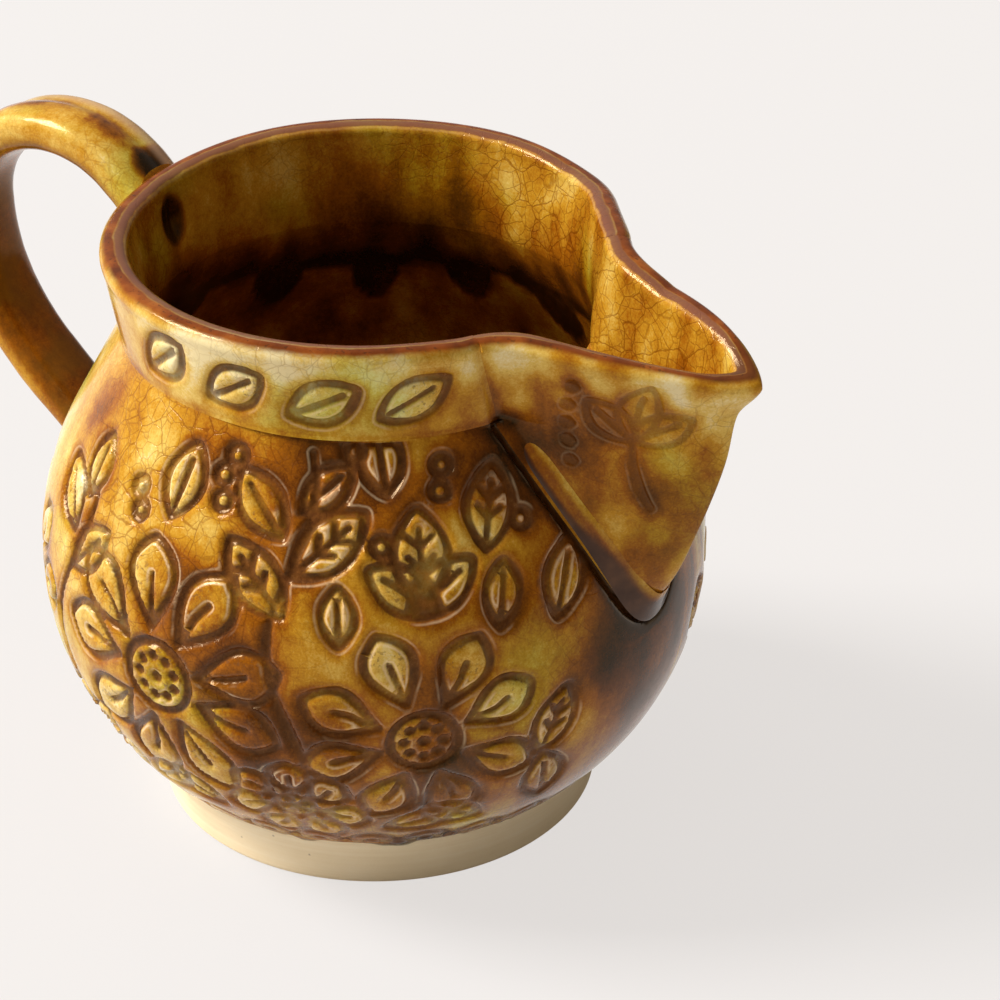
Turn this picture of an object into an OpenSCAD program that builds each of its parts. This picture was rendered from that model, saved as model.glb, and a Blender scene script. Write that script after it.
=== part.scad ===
// Cream jug of glazed stoneware: a round pressed belly on a bare foot ring, an upright
// collar, a folded beak spout and a pulled strap handle, luted together with clay coils.
// Millimetres. +X points along the spout, -X along the handle, +Z up.
// The origin is the centre of the foot ring, on the table.

/* [Body] */
// Outer diameter of the belly at its widest
belly_d = 100; // [92:1:108]
// Height of the belly's widest ring
belly_z = 41; // [37:0.5:45]
// Radius of the belly's rounded side, seen in profile
belly_arc_r = 43; // [40:0.5:48]
// Outer diameter of the crease under the collar
crease_d = 72.5; // [68:0.5:78]
// Height of the crease under the collar
crease_z = 77; // [73:0.5:80]
// Outer diameter of the rim
rim_d = 77; // [72:0.5:84]
// Height of the rim
rim_z = 91; // [88:0.5:98]
// Thickness of the pressed wall of belly and collar
wall_t = 4.2; // [3.2:0.1:5.5]
// Rounding of the rim and of the spout's lip
lip_round = 1.6; // [0.8:0.1:2]

/* [Relief] */
// Width of the pressed lines
groove_w = 1.5; // [1:0.1:2]
// Depth of the pressed lines
groove_depth = 0.9; // [0.4:0.1:1.2]
// Radius of the core of the big flower on each side
flower_core = 5.6; // [4:0.1:7]
// Length of that flower's petals
petal_l = 13; // [10:0.5:15]
// Width of that flower's petals
petal_w = 8.2; // [6:0.1:9]

/* [Foot] */
// Outer diameter of the foot ring where it stands
foot_d = 67; // [62:0.5:70]
// Height of the foot ring
foot_h = 9; // [7:0.5:12]
// Width of the foot ring's standing face, its edges included
foot_w = 6.5; // [4:0.5:10]
// Thickness of the base disc set into the foot ring
base_t = 5.5; // [4:0.1:6.5]
// Rounding of the foot ring's lower edges
foot_edge = 0.8; // [0.4:0.1:1.5]

/* [Spout] */
// Distance of the spout's tip from the jug's axis
spout_reach = 66; // [60:0.5:72]
// How far the spout's tip lies below the rim
spout_drop = 4.5; // [1:0.5:8]
// Half of the spout's width where it leaves the rim
spout_half_w = 15.5; // [12:0.5:18]
// Height on the belly where the keel starts
keel_z = 46.5; // [42:0.5:54]
// How far the keel swells away from the belly, out
keel_swell_out = 9.3; // [6:0.1:12]
// How far the keel swells away from the belly, up
keel_swell_up = 11.5; // [8:0.5:15]
// How far the keel draws in under the tip, in
throat_in = 5.2; // [3:0.1:7]
// How far the keel draws in under the tip, down
throat_down = 11.5; // [8:0.5:14]
// Thickness of the spout's sides
spout_wall = 3.8; // [2.8:0.1:5]
// Thickness of the spout along its keel
keel_wall = 5; // [3.5:0.1:6.5]

/* [Handle] */
// How far below the rim the handle's middle leaves the collar
handle_drop = 9.5; // [8:0.5:12]
// Angle at which the handle rises from the collar
handle_rise = 47; // [38:1:52]
// Distance of the handle's crown from the jug's axis
crown_x = 57; // [53:0.5:62]
// How far the middle of the handle's crown stands above the rim
crown_rise = 1.8; // [-1:0.2:6]
// Distance of the handle's back from the jug's axis, at its middle
back_x = 77.4; // [73:0.5:84]
// Height at which the handle's back stands upright
back_z = 75; // [70:0.5:80]
// Height on the belly where the handle's middle lands
handle_low_z = 38.5; // [34:0.5:44]
// Angle at which the handle runs down onto the belly
handle_fall = 38; // [30:1:50]
// Width of the handle's strap
handle_w = 12.4; // [10:0.1:15]
// Thickness of the strap where it leaves the collar
handle_t_top = 8; // [6:0.1:8.6]
// Thickness of the strap where it lands on the belly
handle_t_low = 6; // [5:0.1:8]

/* [Luting] */
// Layer of slip left open between pieces that are luted together
slip_t = 0.12; // [0.1:0.01:0.25]
// Leg of the clay coil smoothed into the spout's seam, on the belly
seam_coil = 2.6; // [1.5:0.1:3.5]
// Leg of that coil at the rim
rim_coil = 5; // [3:0.1:6]
// Leg of the clay coils smoothed round the handle's ends
handle_coil = 2.2; // [1.2:0.1:2.8]
// Radius of the fingertip that pressed the dent behind the handle
dent_r = 7; // [5:0.5:9]
// Depth of that dent in the collar's inner wall
dent_depth = 1.2; // [0.6:0.1:1.8]

/* [Hidden] */
$fn = 120;

GLAZE = "#a8701f";
DARK_GLAZE = "#5a3512";
BARE_CLAY = "#d9c39a";

// The belly's side is an arc about this point of the profile, in radius and height.
arc_o = [belly_d / 2 - belly_arc_r, belly_z];
crease = [crease_d / 2, crease_z];
rim_r = rim_d / 2;
lip_z = rim_z - lip_round;
handle_top_z = rim_z - handle_drop;
crown_z = rim_z + crown_rise;
// The shoulder is the straight line from the crease that touches the arc at this angle.
crease_v = crease - arc_o;
touch_a = atan2(crease_v.y, crease_v.x) - acos(min(1, belly_arc_r / norm(crease_v)));
touch = arc_o + belly_arc_r * [cos(touch_a), sin(touch_a)];
arc_steps = 12;

// Outer radius of the belly and the collar at height z.
function body_r(z) =
    z <= touch.y ? arc_o.x + sqrt(max(0, pow(belly_arc_r, 2) - pow(z - arc_o.y, 2)))
    : z <= crease.y ? touch.x + (crease.x - touch.x) * (z - touch.y) / (crease.y - touch.y)
    : crease.x + (rim_r - crease.x) * min(1, (z - crease.y) / (lip_z - crease.y));

// Depth below the surface, level with it, of a wall that is wall_t thick across.
shoulder_in = wall_t * norm(crease - touch) / (crease.y - touch.y);
crease_in_r = crease.x - shoulder_in;
rim_in_r = rim_r - wall_t;

// Inner radius of the collar at height z.
function collar_in_r(z) =
    crease_in_r + (rim_in_r - crease_in_r) * (z - crease_z) / (lip_z - crease_z);

// Points on an arc of the profile, about centre c, from angle a to angle b.
function arc(c, r, a, b, n) =
    [for (i = [0:n]) let (t = a + (b - a) * i / n) c + r * [cos(t), sin(t)]];

// Foot ring: bare clay, turned to a slight taper, with its lower edges softened.
foot_in_r = foot_d / 2 - foot_w;
foot_top_r = body_r(foot_h) - foot_edge;

module foot_ring() {
    color(BARE_CLAY)
        rotate_extrude()
            polygon(concat(
                arc([foot_in_r + foot_edge, foot_edge], foot_edge, 180, 270, 6),
                arc([foot_d / 2 - foot_edge, foot_edge], foot_edge, 270, 360, 6),
                [[foot_top_r, foot_h], [foot_in_r, foot_h]]));
}

// Base disc: closes the foot ring, flush with its top, and leaves a recess below.
module base_disc() {
    color(GLAZE)
        translate([0, 0, foot_h - base_t])
            cylinder(r = foot_in_r - slip_t, h = base_t);
}

// Spout: slices run from the keel's foot, at u = 0, up to the lip, at u = 1.
seam_h = lip_z - keel_z;
keel_foot = [body_r(keel_z), keel_z];
keel_tip = [spout_reach, rim_z - spout_drop - lip_round];
keel_line = [keel_foot, keel_foot + [keel_swell_out, keel_swell_up],
             keel_tip - [throat_in, throat_down], keel_tip];

function bezier(p, t) = pow(1 - t, 3) * p[0] + 3 * pow(1 - t, 2) * t * p[1]
    + 3 * (1 - t) * pow(t, 2) * p[2] + pow(t, 3) * p[3];

// The seam is a parabola, seen along the spout.
function seam_y(u) = spout_half_w * sqrt(u);
function seam_z(u) = keel_z + u * seam_h;
open_share = 0.4;
function open_y(u) = max(open_share * seam_y(u), seam_y(u) - spout_wall);

// Distance along X of the body's surface at a place across and up, a slip layer off it.
function skin_x(y, z) = sqrt(max(0, pow(body_r(z) + slip_t, 2) - y * y));

// The beak's plan: half width at a share w of the way out to the keel.
beak_run = 1.1;
beak_nose = 0.75;
function beak(w) = pow(max(0, 1 - pow(w, beak_run)), beak_nose);
beak_steps = 12;
function beak_share(j) = let (s = 1 - abs(j) / beak_steps) 1 - pow(1 - s, 2);

function outer_point(u, j) =
    let (w = beak_share(j), k = bezier(keel_line, u), y = seam_y(u) * beak(w),
         z = seam_z(u) + (k.y - seam_z(u)) * w, x0 = skin_x(seam_y(u), seam_z(u)))
    [max(skin_x(y, z), x0 + (k.x - x0) * w), sign(j) * y, z];

function inner_point(u, j) =
    let (w = beak_share(j), k = bezier(keel_line, u), y = open_y(u) * beak(w),
         z = seam_z(u) + (k.y - seam_z(u)) * w, x0 = skin_x(open_y(u), seam_z(u)))
    [max(skin_x(y, z), x0 + (k.x - keel_wall - x0) * w), sign(j) * y, z];

// A slice is a ring: along the outside from one seam to the other, and back inside.
function slice(u) = concat([for (j = [-beak_steps:beak_steps]) outer_point(u, j)],
                           [for (j = [beak_steps:-1:-beak_steps]) inner_point(u, j)]);

// The lip rounds over from the last slice: points move in towards their partners and up.
function lip_slice(ring, a) =
    let (n = len(ring))
    [for (i = [0:n - 1])
        let (across = ring[n - 1 - i] - ring[i], inset = lip_round * (1 - cos(a)))
        ring[i] + across * min(0.45, inset / max(0.01, norm(across))) + [0, 0, lip_round * sin(a)]];

// Faces of a stack of rings with n points each: the sides, and both ends closed as
// strips between the first and the second half of the ring.
function loft_faces(n, rings) = concat(
    [for (r = [0:rings - 2], i = [0:n - 1])
        [r * n + i, r * n + (i + 1) % n, (r + 1) * n + (i + 1) % n, (r + 1) * n + i]],
    [for (i = [0:n / 2 - 2]) [n - 1 - i, n - 2 - i, i + 1, i]],
    [for (i = [0:n / 2 - 2])
        let (b = (rings - 1) * n)
        [b + i, b + i + 1, b + n - 2 - i, b + n - 1 - i]]);

// Slices lie closer together near the keel's foot, where the spout is small.
spout_slices = 22;
spout_start = 0.004;
function slice_share(i) = spout_start + (1 - spout_start) * pow(i / spout_slices, 1.5);

module spout() {
    last = slice(1);
    rings = concat([for (i = [0:spout_slices]) slice(slice_share(i))],
                   [for (a = [30:30:90]) lip_slice(last, a)]);
    n = len(last);
    color(GLAZE)
        polyhedron([for (ring = rings) each ring], loft_faces(n, len(rings)), convexity = 6);
}

// The way through the wall behind the spout, as wide as the spout is inside.
open_from = pow(spout_wall / (spout_half_w * (1 - open_share)), 2);
open_steps = 14;

module spout_opening() {
    us = [for (i = [0:open_steps]) open_from + (1 - open_from) * i / open_steps];
    side = [for (u = us) [open_y(u), seam_z(u)]];
    top = rim_z + lip_round;
    rotate([90, 0, 90])
        linear_extrude(spout_reach)
            polygon(concat(side, [[open_y(1), top], [-open_y(1), top]],
                           [for (i = [open_steps:-1:0]) [-side[i].x, side[i].y]]));
}

// Relief: flowers pressed into the belly, alike on both sides. Each is an azimuth from the spout, an angle
// up the belly's arc, a number of petals, a size against the big flower, and a turn.
flowers = [[91, 0, 9, 1, 8], [45, -6.8, 8, 0.86, 20], [141, -4, 8, 0.82, 12]];
foot_a = asin((foot_h - arc_o.y) / belly_arc_r);
petal_gap = 2;
petal_blunt = 1.35;
petal_full = 0.8;
petal_shares = [0, 0.34, 0.74, 1];

// Outline of a petal on the flat, from its foot at a distance from the flower's middle.
function petal_side(from, l, w, way) =
    [for (q = petal_shares) [way * w / 2 * pow(abs(sin(180 * pow(q, petal_blunt))), petal_full), from + q * l]];
function petal_outline(from, l, w) =
    let (right = petal_side(from, l, w, 1), left = petal_side(from, l, w, -1), n = len(petal_shares))
    concat(right, [for (i = [n - 2:-1:1]) left[i]]);
function turned(p, a) = [p.x * cos(a) + p.y * sin(a), p.y * cos(a) - p.x * sin(a)];
// Petals are cut by hand: each leans a little and differs a little in length.
function petal_lean(k) = 3 * sin(137 * k);
function petal_grow(k) = 1 + 0.05 * sin(97 * k + 20);

// Point of the belly's arc at an azimuth and an angle up the arc.
function arc_point(azimuth, a) =
    let (r = arc_o.x + belly_arc_r * cos(a))
    [r * cos(azimuth), r * sin(azimuth), arc_o.y + belly_arc_r * sin(a)];
// A flat point laid on the belly about a flower's middle, seen square to the wall there: down, and along.
// The last value of a placed flower is its side, -1 or 1, so that the two sides mirror each other.
function laid(f, p) =
    let (a = f[1] + p.y / belly_arc_r * 180 / PI,
         azimuth = f[0] + f[5] * p.x / (arc_o.x + belly_arc_r * cos(a)) * 180 / PI,
         v = arc_point(azimuth, a) - arc_point(f[0], f[1]),
         along = [-sin(f[0]), cos(f[0]), 0],
         up = [-sin(f[1]) * cos(f[0]), -sin(f[1]) * sin(f[0]), cos(f[1])])
    [-v * up, v * along];

// How far a flower's edge falls away below its middle.
cut_reach = pow(flower_core + petal_gap + petal_l * 1.1, 2) / (2 * (belly_arc_r - wall_t)) + groove_depth;
core_sides = 10;
function core_ring(r) = [for (i = [0:core_sides - 1]) r * [cos(360 * i / core_sides), sin(360 * i / core_sides)]];
// Where each outline starts in a list of outlines.
function starts(lines, i = 0, at = 0) =
    i == len(lines) ? [] : concat([at], starts(lines, i + 1, at + len(lines[i])));

// A flower's lines, each between an outer and an inner outline, cut through the wall's skin.
module flower_cut(f) {
    core = flower_core * f[3];
    from = core + petal_gap;
    w = petal_w * f[3];
    lines = concat(
        [core_ring(core + groove_w / 2), core_ring(core - groove_w / 2)],
        [for (k = [0:f[2] - 1], side = [1, -1])
            let (a = f[4] + 360 * k / f[2] + petal_lean(k), l = petal_l * f[3] * petal_grow(k))
            [for (p = petal_outline(from - side * groove_w / 2, l + side * groove_w, w + side * groove_w))
                turned(p, a)]]);
    first = starts(lines);
    translate(arc_point(f[0], f[1]))
        rotate([0, 90 - f[1], f[0]])
            translate([0, 0, -cut_reach])
                linear_extrude(cut_reach + groove_depth)
                    polygon([for (line = lines, p = line) laid(f, p)],
                            [for (i = [0:len(lines) - 1]) [for (j = [0:len(lines[i]) - 1]) first[i] + j]]);
}

// The skin that the mould pressed lines into, down to their floor.
module pressed_skin() {
    rotate_extrude()
        polygon(concat(
            arc(arc_o, belly_arc_r + groove_depth, foot_a, touch_a, arc_steps),
            arc(arc_o, belly_arc_r - groove_depth, touch_a, foot_a, arc_steps)));
}

module relief() {
    intersection() {
        pressed_skin();
        union() {
            for (f = flowers, way = [-1, 1])
                flower_cut([way * f[0], f[1], f[2], f[3], f[4], way]);
        }
    }
}

// Belly: the round pressed wall from the foot ring up to the crease.
module belly() {
    foot_in_a = asin((foot_h - arc_o.y) / (belly_arc_r - wall_t));
    color(GLAZE)
        difference() {
            rotate_extrude()
                polygon(concat(
                    arc(arc_o, belly_arc_r, foot_a, touch_a, arc_steps),
                    [crease, [crease_in_r, crease_z]],
                    arc(arc_o, belly_arc_r - wall_t, touch_a, foot_in_a, arc_steps)));
            spout_opening();
            relief();
        }
}

// Collar: the flaring band above the crease, with a rounded rim and a fingertip's dent.
module collar() {
    dent_z = handle_top_z;
    color(GLAZE)
        difference() {
            rotate_extrude()
                polygon(concat(
                    [[crease_in_r, crease_z], crease],
                    arc([rim_r - lip_round, lip_z], lip_round, 0, 90, 8),
                    arc([rim_in_r + lip_round, lip_z], lip_round, 90, 180, 8)));
            spout_opening();
            translate([dent_r - dent_depth - collar_in_r(dent_z), 0, dent_z])
                sphere(r = dent_r);
        }
}

// Seam coil: a fillet of clay in the corner between the spout and the body, from the
// rim on one side, under the keel, to the rim on the other. It widens on the collar.
coil_steps = 24;
keel_climb = keel_swell_up / keel_swell_out;

// A fillet's section: the corner, its foot on the body, its hollow middle, its top on the other piece.
fillet_depth = 0.3;
function fillet(corner, foot, top) =
    [corner, foot, corner + fillet_depth * (foot + top - 2 * corner), top];

function seam_section(s) =
    let (u = s * s, y = seam_y(u) * sign(s), z = seam_z(u),
         leg = seam_coil + (rim_coil - seam_coil) * max(0, (z - crease_z) / (lip_z - crease_z)),
         away_v = [2 * s * seam_h, -spout_half_w],
         away = away_v / norm(away_v),
         out_v = [1, 0, keel_climb * pow(1 - abs(s), 3)],
         out = out_v / norm(out_v),
         a = [y, z] + slip_t * away, b = a + leg * away,
         corner = [skin_x(a.x, a.y), a.x, a.y])
    fillet(corner, [skin_x(b.x, b.y), b.x, b.y], corner + leg * out + slip_t * [0, away.x, away.y]);

// Faces of a strip of four-sided sections, closed at both ends or joined into a loop.
function strip_faces(count, loop) = concat(
    [for (i = [0:count - (loop ? 1 : 2)], k = [0:3])
        let (a = 4 * i, b = 4 * ((i + 1) % count), m = (k + 1) % 4)
        [a + k, b + k, b + m, a + m]],
    loop ? [] : [[0, 1, 2, 3], [4 * count - 1, 4 * count - 2, 4 * count - 3, 4 * count - 4]]);

module spout_seam_coil() {
    sections = [for (i = [-coil_steps:coil_steps]) seam_section(i / coil_steps)];
    color(DARK_GLAZE)
        polyhedron([for (s = sections) each s], strip_faces(len(sections), false), convexity = 4);
}

// Handle: a strap swept along a line in the plane y = 0, given as distance from the axis and height.
handle_from = [body_r(handle_top_z), handle_top_z];
handle_to = [body_r(handle_low_z), handle_low_z];
crown = [crown_x, crown_z];
back = [back_x, back_z];
// How much of each stretch its end directions shape.
reach_share = 0.4;
rise_reach = reach_share * norm(crown - handle_from);
fall_reach = reach_share * norm(back - handle_to);
rise_line = [handle_from, handle_from + rise_reach * [cos(handle_rise), sin(handle_rise)],
             crown - [rise_reach, 0], crown];
fall_line = [back, back - [0, fall_reach],
             handle_to + fall_reach * [cos(handle_fall), sin(handle_fall)], handle_to];
rise_steps = 10;
crown_steps = 10;
fall_steps = 16;

handle_path = concat(
    [for (i = [0:rise_steps]) bezier(rise_line, i / rise_steps)],
    [for (i = [1:crown_steps - 1]) let (a = 90 * i / crown_steps)
        [crown_x + (back_x - crown_x) * sin(a), back_z + (crown_z - back_z) * cos(a)]],
    [for (i = [0:fall_steps]) bezier(fall_line, i / fall_steps)]);
handle_last = len(handle_path) - 1;

function heading(i) =
    let (v = i == 0 ? [cos(handle_rise), sin(handle_rise)]
           : i == handle_last ? [-cos(handle_fall), -sin(handle_fall)]
           : handle_path[i + 1] - handle_path[i - 1])
    v / norm(v);

// The strap's section is a rounded rectangle: a superellipse of handle_w by the local thickness.
section_sides = 24;
section_round = 0.75;
function rounded(c) = sign(c) * pow(abs(c), section_round);
function strap_point(i, k) =
    let (share = i / handle_last, t = handle_t_top + (handle_t_low - handle_t_top) * share,
         a = 360 * k / section_sides, d = heading(i),
         q = handle_path[i] + t / 2 * rounded(sin(a)) * [-d.y, d.x])
    [-q.x, handle_w / 2 * rounded(cos(a)), q.y];

// Where a line from point p along d meets the body's surface, between the travels lo, outside it, and hi.
function gap_at(p, d, s) = let (q = p + s * d) norm([q.x, q.y]) - body_r(q.z) - slip_t;
function landing(p, d, lo, hi, n = 26) =
    n == 0 ? p + (lo + hi) / 2 * d
    : gap_at(p, d, (lo + hi) / 2) > 0 ? landing(p, d, (lo + hi) / 2, hi, n - 1)
    : landing(p, d, lo, (lo + hi) / 2, n - 1);

reach_out = handle_w;
function end_dir(i) = let (d = heading(i), inward = i == 0 ? -1 : 1) inward * [-d.x, 0, d.y];
function path_point(i) = [-handle_path[i].x, 0, handle_path[i].y];
// The strap's end at a share of its section: 1 is its edge, 0 its middle.
function end_ring(i, share = 1) =
    [for (k = [0:section_sides - 1])
        let (c = path_point(i))
        landing(c + share * (strap_point(i, k) - c), end_dir(i), -reach_out, reach_out)];
function end_middle(i) = landing(path_point(i), end_dir(i), -reach_out, reach_out);

// Rings that would start inside the slanting ends are left out.
clear_rings = 3;

module handle() {
    n = section_sides;
    rings = concat([end_ring(0, 0.5), end_ring(0)],
                   [for (i = [clear_rings:handle_last - clear_rings])
                       [for (k = [0:n - 1]) strap_point(i, k)]],
                   [end_ring(handle_last), end_ring(handle_last, 0.5)]);
    m = len(rings);
    color(GLAZE)
        polyhedron(concat([for (r = rings) each r], [end_middle(0), end_middle(handle_last)]),
            concat(
                [for (r = [0:m - 2], k = [0:n - 1])
                    [r * n + k, (r + 1) * n + k, (r + 1) * n + (k + 1) % n, r * n + (k + 1) % n]],
                [for (k = [0:n - 1]) [m * n, k, (k + 1) % n]],
                [for (k = [0:n - 1]) [m * n + 1, (m - 1) * n + (k + 1) % n, (m - 1) * n + k]]),
            convexity = 6);
}

// Handle coils: a fillet of clay all round each end of the strap, cut short where it meets the rim.
least_leg = 0.3;
function coil_leg(z, climb) =
    climb <= 0 ? handle_coil : max(least_leg, min(handle_coil, (lip_z - z) / climb));
function coil_section(i, ring, k) =
    let (p = ring[k], c = end_middle(i),
         away_v = [p.y - c.y, p.z - c.z], away = away_v / norm(away_v),
         a = [p.y, p.z] + slip_t * away, b = a + coil_leg(a.y, away.y) * away)
    fillet([-skin_x(a.x, a.y), a.x, a.y], [-skin_x(b.x, b.y), b.x, b.y],
           p - handle_coil * end_dir(i) + 2 * slip_t * [0, away.x, away.y]);

module end_coil(i) {
    ring = end_ring(i);
    sections = [for (k = [0:section_sides - 1]) coil_section(i, ring, k)];
    color(DARK_GLAZE)
        polyhedron([for (s = sections) each s], strip_faces(len(sections), true), convexity = 4);
}

module handle_top_coil() end_coil(0);

module handle_foot_coil() end_coil(handle_last);

foot_ring();
base_disc();
belly();
collar();
spout();
spout_seam_coil();
handle();
handle_top_coil();
handle_foot_coil();
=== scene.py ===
import math

import bmesh
import bpy
import numpy as np
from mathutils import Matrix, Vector


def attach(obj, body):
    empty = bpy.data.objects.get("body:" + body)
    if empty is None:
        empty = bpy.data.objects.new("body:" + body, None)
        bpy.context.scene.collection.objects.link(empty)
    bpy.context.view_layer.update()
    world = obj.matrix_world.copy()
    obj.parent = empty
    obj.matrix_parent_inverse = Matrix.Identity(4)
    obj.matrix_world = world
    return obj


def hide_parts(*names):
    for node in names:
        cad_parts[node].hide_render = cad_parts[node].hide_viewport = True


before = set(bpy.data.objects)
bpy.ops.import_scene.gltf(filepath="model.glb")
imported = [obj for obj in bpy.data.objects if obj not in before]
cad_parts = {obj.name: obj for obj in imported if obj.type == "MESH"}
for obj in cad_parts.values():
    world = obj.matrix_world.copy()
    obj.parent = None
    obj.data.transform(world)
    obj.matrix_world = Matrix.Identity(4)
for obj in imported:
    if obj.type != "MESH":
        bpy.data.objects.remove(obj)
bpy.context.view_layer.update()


# Foot ring: the turned ring of buff stoneware that the jug stands on. It is left bare, so it is
# matte and shows specks and the fine level lines of the turning tool. The belly sits on its top.

FOOT_R = 33.5
FOOT_IN_R = 27.0
FOOT_H = 9.0
FOOT_TOP_R = 34.9
FOOT_EDGE = 0.9
FOOT_IN_EDGE = 1.0
MM = 0.001
FULL_TURN = 2.0 * math.pi
CLAY_BUMP = 0.00012
LOOKS = {"Colour": "Color", "Roughness": "Float", "Height": "Float"}


class Flow:
    """A node's output. Arithmetic on it adds the nodes that work it out."""

    def __init__(self, node, key=0):
        self.tree = node.id_data
        self.socket = node.outputs[key]

    def __add__(self, other):
        return calc("ADD", self, other)

    def __sub__(self, other):
        return calc("SUBTRACT", self, other)

    def __rsub__(self, other):
        return calc("SUBTRACT", other, self)

    def __mul__(self, other):
        return calc("MULTIPLY", self, other)

    def __truediv__(self, other):
        return calc("DIVIDE", self, other)

    def __abs__(self):
        return calc("ABSOLUTE", self)


def feed(node, feeds):
    """Feeds a node's inputs with values or with flows."""
    for key, value in feeds.items():
        if isinstance(value, Flow):
            value.tree.links.new(value.socket, node.inputs[key])
        else:
            node.inputs[key].default_value = value


def place(tree, kind, feeds=None, **settings):
    """Adds a node, sets its options and feeds its inputs."""
    made = tree.nodes.new(kind)
    for key, value in settings.items():
        setattr(made, key, value)
    feed(made, feeds or {})
    return made


def flow(tree, kind, feeds=None, key=0, **settings):
    """Adds a node and returns one of its outputs."""
    return Flow(place(tree, kind, feeds, **settings), key)


def calc(operation, a, b=0.0, clamp=False):
    """One arithmetic step between two flows, or a flow and a number."""
    tree = a.tree if isinstance(a, Flow) else b.tree
    return flow(tree, "ShaderNodeMath", {0: a, 1: b}, operation=operation, use_clamp=clamp)


def span(value, low, high, to_low=0.0, to_high=1.0, smooth=True):
    """Maps a value from one range to another, clamped and by default smooth at both ends."""
    return flow(value.tree, "ShaderNodeMapRange",
                {"Value": value, "From Min": low, "From Max": high, "To Min": to_low, "To Max": to_high},
                interpolation_type="SMOOTHSTEP" if smooth else "LINEAR")


def noise(spot, scale, detail=3.0, roughness=0.5):
    """Noise of a scale per metre, as one value about 0.5."""
    return flow(spot.tree, "ShaderNodeTexNoise",
                {"Vector": spot, "Scale": scale, "Detail": detail, "Roughness": roughness})


def stretch(spot, scale):
    """A place scaled by its own factor along each axis."""
    return flow(spot.tree, "ShaderNodeMapping", {"Vector": spot, "Scale": scale})


def axes(vector):
    """The three parts of a vector."""
    parts = place(vector.tree, "ShaderNodeSeparateXYZ", {0: vector})
    return [Flow(parts, key) for key in "XYZ"]


def blend(share, a, b, kind="MIX"):
    """Mixes two colours by a share."""
    return flow(a.tree, "ShaderNodeMix", {0: share, 6: a, 7: b}, 2, data_type="RGBA", blend_type=kind)


def ramp(factor, stops):
    """A colour ramp, its stops given as place and linear colour."""
    made = place(factor.tree, "ShaderNodeValToRGB", {0: factor})
    elements = made.color_ramp.elements
    while len(elements) < len(stops):
        elements.new(0.5)
    for element, (where, colour) in zip(elements, stops):
        element.position = where
        element.color = (*colour, 1.0)
    return Flow(made, "Color")


def bumps(height, strength, distance):
    """The direction of a surface with fine bumps on it."""
    return flow(height.tree, "ShaderNodeBump", {"Strength": strength, "Distance": distance, "Height": height})


def object_spot(tree):
    """The place on the object, in metres."""
    return flow(tree, "ShaderNodeTexCoord", None, "Object")


def new_group(name, kind, takes, gives):
    """A node group with named inputs and outputs: its tree, inputs, output node and the sockets' keys."""
    tree = bpy.data.node_groups.new(name, kind)
    keys = {}
    for way, sockets in (("INPUT", takes), ("OUTPUT", gives)):
        for label, holds in sockets.items():
            socket = tree.interface.new_socket(label, in_out=way, socket_type="NodeSocket" + holds)
            keys[label] = socket.identifier
    entry = place(tree, "NodeGroupInput")
    into = {label: Flow(entry, label) for label in takes}
    return tree, into, place(tree, "NodeGroupOutput"), keys


def unit_grid(tree, columns, rows):
    """A flat grid one metre wide: its mesh, and its points' x and y."""
    mesh = flow(tree, "GeometryNodeMeshGrid",
                {"Size X": 1.0, "Size Y": 1.0, "Vertices X": columns, "Vertices Y": rows}, "Mesh")
    x, y, _ = axes(flow(tree, "GeometryNodeInputPosition"))
    return mesh, x, y


def on_curve(curve, share):
    """The node that samples a curve at a share of its length."""
    return place(curve.tree, "GeometryNodeSampleCurve", {"Curves": curve, "Factor": share},
                 mode="FACTOR", use_all_curves=True)


def merged(mesh):
    """A mesh with its doubled points joined."""
    return flow(mesh.tree, "GeometryNodeMergeByDistance", {"Geometry": mesh, "Distance": 1e-6})


def dress(end, mesh, finish):
    """Ends a geometry tree with its mesh made real and given a material."""
    real = flow(mesh.tree, "GeometryNodeRealizeInstances", {"Geometry": mesh})
    feed(end, {0: flow(mesh.tree, "GeometryNodeSetMaterial", {"Geometry": real, "Material": finish})})


def turning_tree():
    """Geometry tree that turns a profile line, drawn in x and z, round the z axis."""
    tree, into, end, keys = new_group(
        "turned on a wheel", "GeometryNodeTree",
        {"Profile": "Geometry", "Steps Around": "Int", "Steps Along": "Int", "Clay": "Material"},
        {"Turned": "Geometry"})
    grid, x, y = unit_grid(tree, into["Steps Around"], into["Steps Along"])
    turn = (x + 0.5) * FULL_TURN
    r, _, z = axes(Flow(on_curve(into["Profile"], y + 0.5), "Position"))
    there = flow(tree, "ShaderNodeCombineXYZ",
                 {"X": r * calc("COSINE", turn), "Y": r * calc("SINE", turn), "Z": z})
    moved = flow(tree, "GeometryNodeSetPosition", {"Geometry": grid, "Position": there})
    dress(end, merged(moved), into["Clay"])
    return tree, keys


def show(name, data):
    """Puts data into the scene as an object."""
    made = bpy.data.objects.new(name, data)
    bpy.context.collection.objects.link(made)
    return made


def line_object(name, points, closed=False):
    """A curve object through points in millimetres."""
    curve = bpy.data.curves.new(name, "CURVE")
    curve.dimensions = "3D"
    spline = curve.splines.new("POLY")
    spline.points.add(len(points) - 1)
    for point, spot in zip(spline.points, points):
        point.co = (spot[0] * MM, spot[1] * MM, spot[2] * MM, 1.0)
    spline.use_cyclic_u = closed
    return show(name, curve)


def shape_by(source, group, inputs, name):
    """Runs an object through a geometry tree, and puts the plain mesh it makes in the object's place."""
    tree, keys = group
    work = source.modifiers.new("shape", "NODES")
    work.node_group = tree
    for label, value in inputs.items():
        work[keys[label]] = value
    bpy.context.view_layer.update()
    shaped = source.evaluated_get(bpy.context.evaluated_depsgraph_get())
    mesh = bpy.data.meshes.new_from_object(shaped)
    bpy.data.objects.remove(source)
    mesh.name = name
    return show(name, mesh)


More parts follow.
